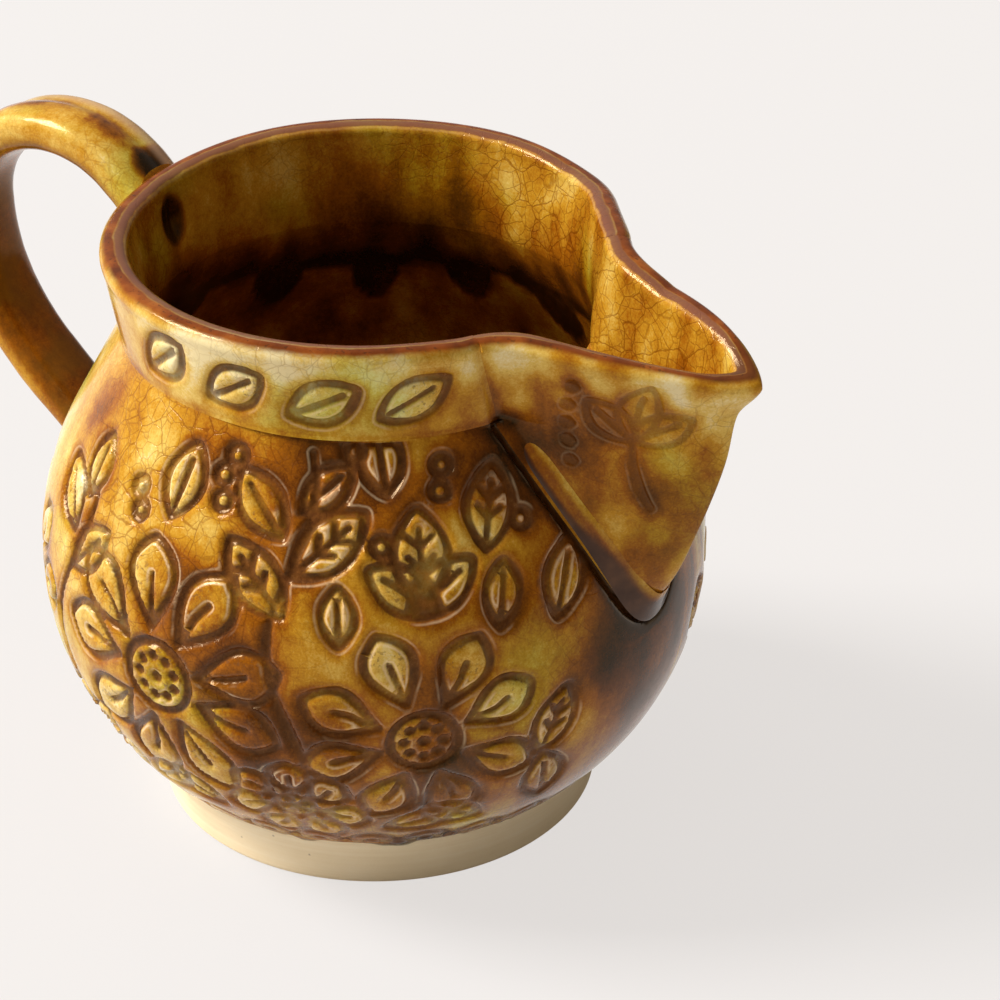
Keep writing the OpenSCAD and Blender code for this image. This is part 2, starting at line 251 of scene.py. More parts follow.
def smooth_faces(piece, sharp_deg):
    """Shades a piece smooth, but keeps edges sharper than an angle crisp."""
    piece.data.shade_smooth()
    piece.data.set_sharp_from_angle(angle=math.radians(sharp_deg))
    return piece


def face_out(piece, sharp_deg=40.0):
    """Joins doubled points, points faces outwards and shades them."""
    work = bmesh.new()
    work.from_mesh(piece.data)
    bmesh.ops.remove_doubles(work, verts=work.verts, dist=2e-6)
    bmesh.ops.recalc_face_normals(work, faces=work.faces)
    work.to_mesh(piece.data)
    work.free()
    return smooth_faces(piece, sharp_deg)


def new_material(name):
    """An empty node material with its Principled shader wired to the output."""
    made = bpy.data.materials.new(name)
    made.use_nodes = True
    tree = made.node_tree
    tree.nodes.clear()
    shader = place(tree, "ShaderNodeBsdfPrincipled")
    place(tree, "ShaderNodeOutputMaterial", {0: Flow(shader)})
    return made, tree, shader


def clay_group():
    """Node group of fired buff stoneware: clouds of tone, grog specks and fine level tool lines."""
    tree, _, end, _ = new_group("buff stoneware", "ShaderNodeTree", {}, LOOKS)
    spot = object_spot(tree)
    grain = noise(spot, 2600.0, 2.0)
    lines = noise(stretch(spot, (18.0, 18.0, 2100.0)), 1.0, 3.0)
    tone = noise(spot, 70.0, 5.0) * 0.65 + lines * 0.35
    colour = ramp(tone, [(0.3, (0.84, 0.665, 0.405)), (0.5, (0.915, 0.75, 0.485)), (0.7, (0.94, 0.80, 0.56))])
    cells = place(tree, "ShaderNodeTexVoronoi", {"Vector": spot, "Scale": 560.0})
    specks = span(Flow(cells, "Distance"), 0.07, 0.15, 1.0, 0.0) * span(Flow(cells, "Color"), 0.78, 0.82)
    colour = blend(specks * 0.5, colour, (0.2, 0.1, 0.045, 1.0))
    feed(end, {"Colour": colour, "Roughness": span(grain, 0.3, 0.7, 0.7, 0.9),
               "Height": lines * 0.8 + grain * 0.4})
    return tree


clay = clay_group()


def bare_material():
    """Bare fired clay."""
    made, tree, shader = new_material("bare buff stoneware")
    body = place(tree, "ShaderNodeGroup", node_tree=clay)
    feed(shader, {"Base Color": Flow(body, "Colour"), "Roughness": Flow(body, "Roughness"),
                  "Normal": bumps(Flow(body, "Height"), 0.4, CLAY_BUMP)})
    return made


def foot_profile():
    """The foot ring's section: a rounded standing edge and a slightly tapered side with tool ripples."""
    line = []
    for middle, edge, start in ((FOOT_IN_R + FOOT_IN_EDGE, FOOT_IN_EDGE, 180),
                                (FOOT_R - FOOT_EDGE, FOOT_EDGE, 270)):
        for k in range(9):
            a = math.radians(start + 90 * k / 8)
            line.append((middle + edge * math.cos(a), 0.0, edge + edge * math.sin(a)))
    for k in range(1, 40):
        z = FOOT_EDGE + (FOOT_H - FOOT_EDGE) * k / 39
        r = FOOT_R + (FOOT_TOP_R - FOOT_R) * (z / FOOT_H) ** 1.3
        line.append((r - 0.05 + 0.05 * math.sin(z * 3.1) * math.sin(z * 1.3 + 0.6), 0.0, z))
    for k in range(8):
        line.append((FOOT_IN_R, 0.0, FOOT_H - (FOOT_H - FOOT_IN_EDGE) * k / 8))
    return line


turned = turning_tree()


def turn_piece(name, points, closed, steps, finish):
    """Turns a profile into a finished piece."""
    line = line_object(name + "_line", points, closed)
    inputs = {"Steps Around": steps + 1, "Steps Along": len(points) * 2 + 1, "Clay": finish}
    return face_out(shape_by(line, turned, inputs, name))


foot = turn_piece("foot", foot_profile(), True, 288, bare_material())
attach(foot, "root")
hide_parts("foot_ring")


# Base disc: the round of clay that closes the bottom, set inside the foot ring with a shallow recess
# under it. Its upper face is the floor inside the jug, with throwing rings and thick dark glaze.

BASE_R = 26.9
BASE_LOW = 3.5
BASE_TOP = 9.0
NO_GROOVE = 9.0
GLAZE_INPUTS = ("Pool", "Groove", "Raised", "Craze", "Wear_and_highlight")
GLOSS = {"Specular IOR Level": 0.28, "Specular Tint": (1.0, 0.68, 0.34, 1.0)}


def glaze_group():
    """Node group of the amber glaze: thin and cream on edges, ochre to brown with depth, near black in pools.

    Pool is the glaze's depth from 0 to 1, Groove is the distance in millimetres from the edge of the nearest
    pressed line, negative inside the line, Raised is 1 on petals and leaves, Craze is how far the glaze
    has cracked, and the last input how crisp the lines' edges show: their dark fill, and a pale line
    along them that is partly thin glaze and partly a painted highlight."""
    takes = dict.fromkeys(GLAZE_INPUTS, "Float")
    tree, into, end, _ = new_group("amber glaze", "ShaderNodeTree", takes, LOOKS)
    pool, groove, raised, craze, wear_and_highlight = into.values()
    spot = object_spot(tree)
    mottle = noise(spot, 700.0, 4.0, 0.7)
    in_line = span(groove, -0.2, 0.12, 1.0, 0.0)
    beside = calc("SUBTRACT", 1.0, abs(groove - 0.28) * 3.8, True)
    beside = beside * (wear_and_highlight * span(raised, 0.0, 1.0, 0.55, 1.0))

    cloud = (noise(spot, 60.0, 4.0, 0.55) - 0.5) * 0.44
    runs = noise(stretch(spot, (250.0, 250.0, 60.0)), 1.0, 4.0, 0.6) - 0.5
    depth = pool + cloud + runs * 0.3
    depth = depth + span(groove, 0.1, 1.9, 0.15, 0.0) * (1.0 - raised)
    depth = depth + (mottle - 0.5) * (raised * 0.18 + 0.30)
    depth = depth + (noise(spot, 3000.0, 2.0, 0.6) - 0.5) * 0.24
    depth = calc("SUBTRACT", depth, raised * 0.07, True)
    colour = ramp(depth, [(0.0, (0.81, 0.66, 0.35)), (0.17, (0.70, 0.46, 0.10)), (0.36, (0.51, 0.24, 0.015)),
                          (0.55, (0.30, 0.088, 0.003)), (0.75, (0.12, 0.030, 0.002)),
                          (1.0, (0.018, 0.006, 0.0012))])
    olive = span(noise(spot, 40.0, 4.0), 0.52, 0.66) * 0.7
    colour = blend(olive, colour, (0.76, 1.0, 0.5, 1.0), "MULTIPLY")
    grains = span(noise(spot, 1900.0, 2.0), 0.54, 0.66) * span(noise(spot, 230.0, 3.0), 0.42, 0.62)
    grains = grains * span(raised, 0.0, 1.0, 0.15, 0.55)
    colour = blend(grains, colour, (0.15, 0.065, 0.028, 1.0))
    silted = ramp(mottle + cloud,
                  [(0.3, (0.062, 0.018, 0.005)), (0.5, (0.112, 0.035, 0.008)), (0.7, (0.19, 0.066, 0.013))])
    filled = in_line * span(noise(spot, 130.0, 3.0), 0.32, 0.6, 0.55, 0.96)
    colour = blend(filled * span(wear_and_highlight, 0.0, 1.0, 0.4, 1.0), colour, silted)
    # Pale line along the lines' edges: partly glaze run thin on the edge, partly a painted highlight.
    thin_glaze_and_highlight = beside * span(noise(spot, 120.0, 3.0), 0.46, 0.62)
    colour = blend(thin_glaze_and_highlight * 0.72, colour, (0.87, 0.64, 0.38, 1.0))

    swing = flow(tree, "ShaderNodeTexNoise", {"Vector": spot, "Scale": 210.0, "Detail": 3.0}, 1)
    swing = flow(tree, "ShaderNodeVectorMath", {0: swing, "Scale": 0.0018}, operation="SCALE")
    bent = flow(tree, "ShaderNodeVectorMath", {0: spot, 1: swing}, operation="ADD")
    long_cracks, short_cracks = [flow(tree, "ShaderNodeTexVoronoi", {"Vector": bent, "Scale": scale},
                                      "Distance", feature="DISTANCE_TO_EDGE") for scale in (200.0, 470.0)]
    fine = calc("MAXIMUM", span(long_cracks, 0.008, 0.024, 1.0, 0.0),
                span(short_cracks, 0.014, 0.05, 0.75, 0.0))
    where = calc("MAXIMUM", span(noise(spot, 36.0, 3.0), 0.46, 0.62) * 0.5, craze)
    where = where * span(pool, 0.6, 0.75, 1.0, 0.0)
    crazed = fine * where * span(raised, 0.0, 1.0, 1.0, 0.6)
    tint = blend(1.0, colour, (0.42, 0.26, 0.14, 1.0), "MULTIPLY")
    feed(end, {"Colour": blend(crazed * 0.7, colour, tint),
               "Roughness": span(mottle, 0.3, 0.75, 0.10, 0.21) + in_line * 0.08,
               "Height": mottle * 0.2 - crazed * 0.35 - in_line * 0.5})
    return tree


glaze = glaze_group()


def base_material():
    """The disc's material: dark glaze on the upper face, bare clay on the rest."""
    made, tree, shader = new_material("base disc glaze and clay")
    coated = flow(tree, "ShaderNodeGroup",
                  {"Pool": 0.78, "Groove": NO_GROOVE, "Raised": 0.0, "Craze": 0.0, "Wear_and_highlight": 0.0},
                  "Colour", node_tree=glaze)
    body = place(tree, "ShaderNodeGroup", node_tree=clay)
    top = span(axes(object_spot(tree))[2], 0.0072, 0.0076)
    feed(shader, {"Base Color": blend(top, Flow(body, "Colour"), coated), "Roughness": top * -0.66 + 0.8,
                  "Normal": bumps(Flow(body, "Height"), 0.3, CLAY_BUMP), **GLOSS})
    return made


def base_profile():
    """Half section of the disc, from the middle of its underside round to the middle of its top."""
    line = []
    for k in range(15):
        line.append((BASE_R * k / 14, 0.0, BASE_LOW + 0.25 * (1 - k / 14) * math.sin(k * 1.1) ** 2))
    line.append((BASE_R, 0.0, BASE_TOP - 0.4))
    for k in range(31):
        r = (BASE_R - 0.3) * (1 - k / 30)
        line.append((r, 0.0, BASE_TOP - 0.16 + 0.14 * math.sin(r * 1.05)))
    return line


base = turn_piece("base", base_profile(), False, 144, base_material())
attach(base, "root")
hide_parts("base_disc")


# Belly: the round wall, pressed in a carved mould so that flowers, leaves and a scalloped border stand
# between flat grooves, and dipped in a runny amber glaze that is thin on edges and pools in the grooves.
# It is luted to the foot ring below and to the collar above, and is cut open behind the spout.

ARC_R = 43.0
ARC_X = 7.0
ARC_Z = 41.0
TOUCH = (44.7, 61.7)
CREASE = (36.25, 77.0)
LIP = (38.5, 89.4)
CREASE_IN = (31.45, 77.0)
LIP_IN = (34.3, 89.4)
TOUCH_IN_Z = 59.7
WALL = 4.2
KEEL_Z = 46.5
SEAM_RISE = 42.9
SEAM_END = 0.843
SPOUT_HALF = 15.5
GLAZE_BUMP = 0.00016


def body_r(z):
    """The jug's outer radius at a height."""
    z = np.asarray(z, float)
    low = ARC_X + np.sqrt(np.maximum(0.0, ARC_R ** 2 - (z - ARC_Z) ** 2))
    shoulder = TOUCH[0] + (CREASE[0] - TOUCH[0]) * (z - TOUCH[1]) / (CREASE[1] - TOUCH[1])
    flare = CREASE[0] + (LIP[0] - CREASE[0]) * (z - CREASE[1]) / (LIP[1] - CREASE[1])
    return np.where(z < TOUCH[1], low, np.where(z < CREASE[1], shoulder, flare))


def inner_r(z):
    """The jug's inner radius at a height. Inside, the crease is wiped to a soft bend."""
    z = np.asarray(z, float)
    collar_line = CREASE_IN[0] + (LIP_IN[0] - CREASE_IN[0]) * (z - CREASE[1]) / (LIP[1] - CREASE[1])
    shoulder_line = CREASE_IN[0] + (CREASE[1] - z) * (TOUCH[0] - CREASE[0]) / (CREASE[1] - TOUCH[1])
    soft = 1.6
    bent = soft * np.logaddexp(collar_line / soft, shoulder_line / soft)
    low = ARC_X + np.sqrt(np.maximum(0.0, (ARC_R - WALL) ** 2 - (z - ARC_Z) ** 2))
    return np.where(z > TOUCH_IN_Z, bent, low)


# The outer meridian as a fine line, with the length t along it from the foot, for placing the pattern.
meridian_z = np.linspace(FOOT_H, CREASE[1], 1200)
meridian_r = body_r(meridian_z)
meridian_t = np.concatenate([[0.0], np.cumsum(np.hypot(np.diff(meridian_r), np.diff(meridian_z)))])
BELLY_T = float(meridian_t[-1])


def polar(r, turn, z):
    """Points from radius, angle in radians and height."""
    return np.stack([r * np.cos(turn), r * np.sin(turn), np.broadcast_to(z, np.shape(turn))], -1)


def from_axis(points):
    """Distance of points from the jug's axis."""
    return np.hypot(points[:, 0], points[:, 1])


def facing(points):
    """Angle of points in degrees from the spout's side, the same to the left and the right."""
    return np.degrees(np.abs(np.arctan2(points[:, 1], points[:, 0])))


def widen(points, share):
    """Points scaled about the jug's axis, each by its own share."""
    return points * np.stack([share, share, np.ones(len(points))], -1)


def unit(rows):
    """Vectors scaled to a length of 1."""
    return rows / np.linalg.norm(rows, axis=1)[:, None]


def bell(value, middle, wide):
    """1 at the middle, falling off smoothly to both sides."""
    return np.exp(-((value - middle) / wide) ** 2)


def ease(value, low, high):
    """Smooth step from 0 at low to 1 at high."""
    share = np.clip((np.asarray(value, float) - low) / (high - low), 0.0, 1.0)
    return share * share * (3.0 - 2.0 * share)


def drift(points, size, seed):
    """Smooth seeded noise about zero, from cosine waves about a given size in millimetres."""
    rng = np.random.default_rng(seed)
    waves = rng.normal(0.0, FULL_TURN / size, (28, 3)) * 0.55
    phase = rng.uniform(0.0, FULL_TURN, 28)
    return np.cos(points @ waves.T + phase).sum(1) / math.sqrt(14.0)


def mesh_object(name, points, faces, values):
    """A mesh object from points in millimetres, faces, and named values on the points."""
    mesh = bpy.data.meshes.new(name)
    mesh.from_pydata((np.asarray(points) * MM).tolist(), [], faces)
    for key, numbers in values.items():
        layer = mesh.attributes.new(key, "FLOAT", "POINT")
        layer.data.foreach_set("value", np.asarray(numbers, np.float32))
    return show(name, mesh)


def number_rows(count, width, start=0):
    """Rows of point numbers, for points that lie row after row."""
    return [list(range(start + i * width, start + (i + 1) * width)) for i in range(count)]


def strip(first, second, faces):
    """Joins two rows of point numbers of equal length with quads."""
    for k in range(len(first) - 1):
        faces.append((first[k], first[k + 1], second[k + 1], second[k]))


def fan_strip(many, few, ratio, faces):
    """Joins a fine row to a coarse row with one wide face for each coarse step."""
    for k in range(len(few) - 1):
        fine = list(many[k * ratio:(k + 1) * ratio + 1])
        faces.append(tuple(fine + [few[k + 1], few[k]]))


def lines_object(name, lines):
    """A mesh of bare edges that holds the pattern's lines, each a row of points in millimetres."""
    points = []
    edges = []
    for line in lines:
        start = len(points)
        points.extend((np.asarray(line) * MM).tolist())
        edges.extend((start + k, start + k + 1) for k in range(len(line) - 1))
    mesh = bpy.data.meshes.new(name)
    mesh.from_pydata(points, edges, [])
    return show(name, mesh)


def store(mesh, name, value):
    """Keeps a value on the points of a tree's mesh under a name."""
    return flow(mesh.tree, "GeometryNodeStoreNamedAttribute",
                {"Geometry": mesh, "Name": name, "Value": value}, data_type="FLOAT", domain="POINT")


def relief_tree():
    """Geometry tree that presses lines into a piece's skin and stores the distance to them.

    Skin is a value on the points, 1 where the mould touched the clay, and Give is how far the clay gave
    there. Groove keeps the distance in millimetres from the edge of the nearest line, negative inside it."""
    tree, into, end, keys = new_group(
        "pressed relief", "GeometryNodeTree",
        {"Clay": "Geometry", "Bold Lines": "Object", "Fine Lines": "Object", "Bold Width": "Float",
         "Fine Width": "Float", "Depth": "Float", "Glaze": "Material"}, {"Pressed": "Geometry"})
    skin, give = [flow(tree, "GeometryNodeInputNamedAttribute", {"Name": name}, data_type="FLOAT")
                  for name in ("skin", "give")]
    here = flow(tree, "GeometryNodeInputPosition")
    uneven = span(noise(here, 170.0, 2.0), 0.25, 0.75, 0.34, 0.66, False)

    def off_edge(kind):
        """Distance in metres from the edge of the nearest bold or fine line."""
        lines = flow(tree, "GeometryNodeObjectInfo", {"Object": into[kind + " Lines"]}, "Geometry")
        near = flow(tree, "GeometryNodeProximity", {0: lines}, "Distance", target_element="EDGES")
        return near - into[kind + " Width"] * uneven

    off = calc("MINIMUM", off_edge("Bold"), off_edge("Fine"))
    press = (span(off, -0.0004, 0.0003, 1.0, 0.0) + span(off, 0.0, 0.0026, 0.14, 0.0)) * skin
    press = (press + noise(here, 95.0, 2.0) * 0.22 * skin) * give
    push = flow(tree, "ShaderNodeVectorMath",
                {0: flow(tree, "GeometryNodeInputNormal"), "Scale": press * into["Depth"] * -1.0},
                operation="SCALE")
    kept = store(into["Clay"], "groove", off / MM * skin + (1.0 - skin) * NO_GROOVE)
    dress(end, flow(tree, "GeometryNodeSetPosition", {"Geometry": kept, "Offset": push}), into["Glaze"])
    return tree, keys


relief = relief_tree()


def press_piece(source, name, bold, fine, depth, finish):
    """Presses a pattern into a piece and returns it as a plain mesh."""
    face_out(source)
    bold_lines = lines_object(name + "_bold", bold)
    fine_lines = lines_object(name + "_fine", fine)
    made = shape_by(source, relief, {"Bold Lines": bold_lines, "Fine Lines": fine_lines, "Bold Width": 0.0014,
                                     "Fine Width": 0.0011, "Depth": depth, "Glaze": finish}, name)
    bpy.data.objects.remove(bold_lines)
    bpy.data.objects.remove(fine_lines)
    return smooth_faces(made, 65.0)


def value_of(tree, name):
    """A named value from the mesh's points."""
    return flow(tree, "ShaderNodeAttribute", None, "Fac", attribute_name=name)


def wire_glaze(shader, colour, coat, bump):
    """Wires a coat of glaze to a shader."""
    feed(shader, {"Base Color": colour, "Roughness": Flow(coat, "Roughness"),
                  "Normal": bumps(Flow(coat, "Height"), bump, GLAZE_BUMP), **GLOSS})


def glaze_material(name, bump=0.5):
    """The amber glaze, its depth and grooves read from the mesh."""
    made, tree, shader = new_material(name)
    coat = place(tree, "ShaderNodeGroup", node_tree=glaze)
    feed(coat, {key: value_of(tree, key.lower()) for key in GLAZE_INPUTS})
    wire_glaze(shader, Flow(coat, "Colour"), coat, bump)
    return made, tree, shader, coat


def petal(length, width, blunt):
    """Outline of a petal or leaf from its foot at the origin up to its tip and back."""
    q = np.linspace(0.0, 1.0, 22)
    half = 0.5 * width * np.sin(math.pi * q ** blunt) ** 0.8
    side = np.stack([half, q * length], -1)
    return np.concatenate([side, side[::-1] * (-1.0, 1.0)])


def turn_flat(line, angle, x=0.0, y=0.0):
    """Turns a flat line by an angle in degrees, clockwise from up, and moves it."""
    a = math.radians(angle)
    line = np.asarray(line)
    return np.stack([x + line[:, 0] * math.cos(a) + line[:, 1] * math.sin(a),
                     y - line[:, 0] * math.sin(a) + line[:, 1] * math.cos(a)], -1)


def ring(radius, x=0.0, y=0.0, count=28):
    """A flat circle."""
    a = np.linspace(0.0, FULL_TURN, count + 1)
    return np.stack([x + radius * np.cos(a), y + radius * np.sin(a)], -1)


def daisy(petals, core, gap, length, width, turn):
    """A round flower, cut by hand: petals with a short rib each, round a core with a ring of dots."""
    bold = [ring(core)]
    fine = []
    for k in range(petals):
        angle = turn + 360.0 * k / petals + 3.0 * math.sin(math.radians(137.0 * k))
        long = length * (1.0 + 0.05 * math.sin(math.radians(97.0 * k + 20.0)))
        bold.append(turn_flat(petal(long, width, 1.35) + (0.0, core + gap), angle))
        low = core + gap + long * 0.14
        rib = [(0.0, low), (0.5 * math.sin(5.0 * k), low + long * 0.24), (0.0, low + long * 0.46)]
        fine.append(turn_flat(rib, angle))
    dots = max(5, int(core * 1.7))
    for k in range(dots):
        a = FULL_TURN * k / dots
        fine.append(ring(0.42, core * 0.58 * math.cos(a), core * 0.58 * math.sin(a), 10))
    fine.append(ring(0.5, 0.0, 0.0, 10))
    return bold, fine


def leaf(length, width, angle, x, y):
    """An almond leaf with a midrib and, on a long one, two pairs of veins."""
    bold = [turn_flat(petal(length, width, 1.0), angle, x, y)]
    fine = [turn_flat([(0.0, length * 0.12), (0.0, length * 0.78)], angle, x, y)]
    for share in (0.36, 0.58) if length > 11.5 else ():
        for way in (-1.0, 1.0):
            vein = [(0.0, length * share), (way * width * 0.24, length * (share + 0.13))]
            fine.append(turn_flat(vein, angle, x, y))
    return bold, fine


def even_steps(line):
    """The x and y of points about half a millimetre apart along a flat line."""
    line = np.asarray(line, float)
    gaps = np.hypot(*np.diff(line, axis=0).T)
    length = np.concatenate([[0.0], np.cumsum(gaps)])
    spots = np.linspace(0.0, length[-1], max(3, int(length[-1] / 0.5)))
    return np.interp(spots, length, line[:, 0]), np.interp(spots, length, line[:, 1])


def wrap_on_belly(lines, azimuth, t, way):
    """Lays flat lines on the belly about a place, on the spout's left or right by the sign of way."""
    laid = []
    for line in lines:
        x, y = even_steps(line)
        height = np.clip(t + y, 0.6, BELLY_T - 0.4)
        r = np.interp(height, meridian_t, meridian_r)
        around = math.radians(azimuth) + x / r
        laid.append(polar(r, way * around, np.interp(height, meridian_t, meridian_z)))
    return laid


def belly_parts():
    """The belly's pattern on one side: bold and fine flat lines with the azimuth and length they sit at."""
    parts = []
    for petals, size, turn, azimuth, t in ((9, 1.0, 8.0, 91.0, 36.1), (8, 0.86, 20.0, 45.0, 31.0),
                                           (8, 0.82, 12.0, 141.0, 33.1)):
        parts.append((*daisy(petals, 5.6 * size, 2.0, 13.0 * size, 8.2 * size, turn), azimuth, t))
    parts.append((*daisy(7, 3.0, 0.6, 6.8, 6.0, 0.0), 68.0, 15.5))
    parts.append((*daisy(7, 2.8, 0.6, 6.2, 5.6, 10.0), 116.0, 14.5))
    for middle, swing, wide, phase, low, top in (
            (67.5, 2.6, 44.0, 1.4, 26.0, 73.0), (116.5, 3.0, 40.0, 2.6, 24.0, 57.0),
            (166.0, 3.0, 42.0, 1.2, 10.0, 24.0)):
        y = np.linspace(low, top, 60)
        x = swing * np.sin(FULL_TURN * y / wide + phase)
        parts.append(([np.stack([x, y], -1)], [], middle, 0.0))
    for azimuth, t, length, width, angle in (
            (68.0, 50.0, 13.0, 7.2, 42.0), (67.0, 56.0, 13.0, 7.2, -46.0), (69.5, 61.0, 11.0, 6.4, 40.0),
            (66.0, 65.0, 9.0, 5.2, -44.0), (44.0, 52.5, 13.0, 7.6, 0.0), (41.5, 51.0, 11.5, 6.4, 56.0),
            (32.0, 58.5, 12.0, 6.8, -16.0), (21.0, 46.5, 11.5, 6.2, -24.0),
            (46.5, 51.0, 11.5, 6.4, -54.0), (93.0, 60.0, 11.0, 6.4, -6.0), (117.0, 50.0, 11.5, 6.4, 42.0),
            (115.0, 45.0, 11.0, 6.0, -40.0), (116.0, 56.0, 9.5, 5.6, 4.0), (24.0, 24.0, 12.0, 6.6, -18.0),
            (20.0, 12.0, 11.5, 6.2, 12.0), (33.0, 10.5, 10.5, 5.8, 60.0), (51.0, 10.0, 10.5, 5.8, -70.0),
            (84.0, 11.0, 10.5, 5.8, 55.0), (101.0, 11.0, 10.5, 5.8, -55.0), (132.0, 11.5, 11.0, 6.0, 50.0),
            (158.0, 13.0, 11.5, 6.2, -30.0), (170.0, 15.0, 11.0, 6.0, 25.0), (49.5, 67.5, 10.0, 5.8, 8.0),
            (31.5, 47.5, 9.5, 5.2, -12.0), (58.5, 46.5, 8.5, 4.8, 2.0)):
        parts.append((*leaf(length, width, angle, 0.0, t), azimuth, 0.0))
    for azimuth, t in ((82.5, 64.5), (83.5, 68.0), (81.5, 71.0), (56.0, 73.5), (39.0, 67.5), (38.0, 71.0),
                       (24.0, 61.5), (51.0, 60.5), (100.5, 59.0), (102.5, 62.0)):
        parts.append(([ring(1.3, 0.0, t, 14)], [], azimuth, 0.0))
    scallops = 15
    a = np.linspace(0.0, math.pi, 16)
    arch = np.stack([3.75 * np.cos(a), 1.0 + 5.4 * np.sin(a)], -1)
    for k in range(scallops):
        parts.append(([arch], [ring(0.6, 0.0, 2.8, 10)], 7.0 + 166.0 * k / (scallops - 1), 0.0))
    return parts


def belly_pattern(parts):
    """The pattern's lines laid on both sides of the belly, bold and fine."""
    bold = []
    fine = []
    for way in (-1.0, 1.0):
        for thick, thin, azimuth, t in parts:
            bold.extend(wrap_on_belly(thick, azimuth, t, way))
            fine.extend(wrap_on_belly(thin, azimuth, t, way))
    return bold, fine


def within(x, y, line):
    """1 where flat points lie inside a closed line, else 0."""
    odd = np.zeros(len(x), bool)
    for (x0, y0), (x1, y1) in zip(line[:-1], line[1:]):
        if y0 == y1:
            continue
        crosses = (y0 > y) != (y1 > y)
        odd ^= crosses & (x < x0 + (x1 - x0) * (y - y0) / (y1 - y0))
    return odd


def raised_on_belly(turn, t, parts):
    """1 on petals, leaves and flower cores of the belly, for rows of azimuths and their lengths t."""
    r = np.interp(t, meridian_t, meridian_r)
    raised = np.zeros(turn.shape)
    around = np.where(turn > math.pi, turn - FULL_TURN, turn)
    for thick, _, azimuth, low in parts:
        for line in thick:
            if np.hypot(*(line[0] - line[-1])) > 0.01:
                continue
            for way in (-1.0, 1.0):
                x = (way * around - math.radians(azimuth)) * r[:, None]
                y = np.broadcast_to((t - low)[:, None], x.shape)
                near = (np.abs(x - line[:, 0].mean()) < 16.0) & (np.abs(y - line[:, 1].mean()) < 16.0)
                raised[near] = np.maximum(raised[near], within(x[near], y[near], line))
    return raised


def seam_root(p):
    """The spout's root on the jug's skin, p from -1 at one end of the lip past 0 at the keel to 1."""
    p = np.asarray(p, float)
    y = SPOUT_HALF * p
    z = KEEL_Z + SEAM_RISE * p * p
    return np.stack([np.sqrt(np.maximum(0.0, body_r(z) ** 2 - y * y)), y, z], -1)


def seam_along(p):
    """Direction of the spout's root."""
    return unit(seam_root(p + 1e-4) - seam_root(p - 1e-4))


def skin_normal(points):
    """Outward direction of the jug's skin at points on it."""
    r = from_axis(points)
    slope = (body_r(points[:, 2] + 0.05) - body_r(points[:, 2] - 0.05)) / 0.1
    return unit(np.stack([points[:, 0] / r, points[:, 1] / r, -slope], -1))


def to_skin(points):
    """Points moved level on to the jug's skin."""
    return widen(points, body_r(points[:, 2]) / from_axis(points))


def beside_seam(p, away):
    """Points on the skin at a distance outside the spout's root."""
    root = seam_root(p)
    side = np.cross(seam_along(p), skin_normal(root))
    return to_skin(root + side * np.asarray(away)[..., None])


def from_seam_end(points):
    """Distance of points from the nearer upper end of the spout's seam."""
    return np.linalg.norm(np.abs(points) - seam_root(SEAM_END), axis=1)


def seam_shade(points):
    """1 on the skin beside the spout's seam and round its upper ends, falling off within about 3 mm. It
    darkens the glaze there, as pooled glaze and painted shade in the corner by the spout.
    """
    line = seam_root(np.linspace(-0.86, 0.86, 160))
    shade = np.zeros(len(points))
    near = np.flatnonzero((points[:, 0] > 20.0) & (np.abs(points[:, 1]) < 26.0) & (points[:, 2] > 42.0))
    for some in np.array_split(near, max(1, len(near) // 4000)):
        off = np.linalg.norm(points[some, None, :] - line[None, :, :], axis=2).min(1)
        beside = np.exp(-np.maximum(0.0, off - 2.2) / 1.5)
        shade[some] = np.maximum(beside, 1.3 * bell(from_seam_end(points[some]), 0.0, 2.6))
    return shade


def inside_pool(points):
    """Glaze depth inside the jug: amber at the rim, darker downwards, with black drips below the shoulder."""
    z = points[:, 2]
    turn = np.arctan2(points[:, 1], points[:, 0])
    depth = 0.45 + 0.06 * drift(points, 15.0, 23) + 0.05 * drift(points * (1, 1, 0.4), 6.0, 24)
    depth += 0.24 * ease(86.0 - z, 0.0, 14.0) + 0.10 * bell(z, 72.0, 4.0)
    lobes = np.maximum(0.0, np.cos(14.0 * turn + 0.5 * np.sin(3.0 * turn) + 0.3)) ** 0.5
    foot_of_drip = 68.0 - 7.5 * lobes + 1.2 * drift(points * (1, 1, 0), 16.0, 6)
    drip = ease(72.0 - z, 0.0, 3.5) * ease(z - foot_of_drip, -0.7, 0.7)
    return depth + 0.55 * drip - 0.10 * ease(foot_of_drip - z, 0.0, 1.5)


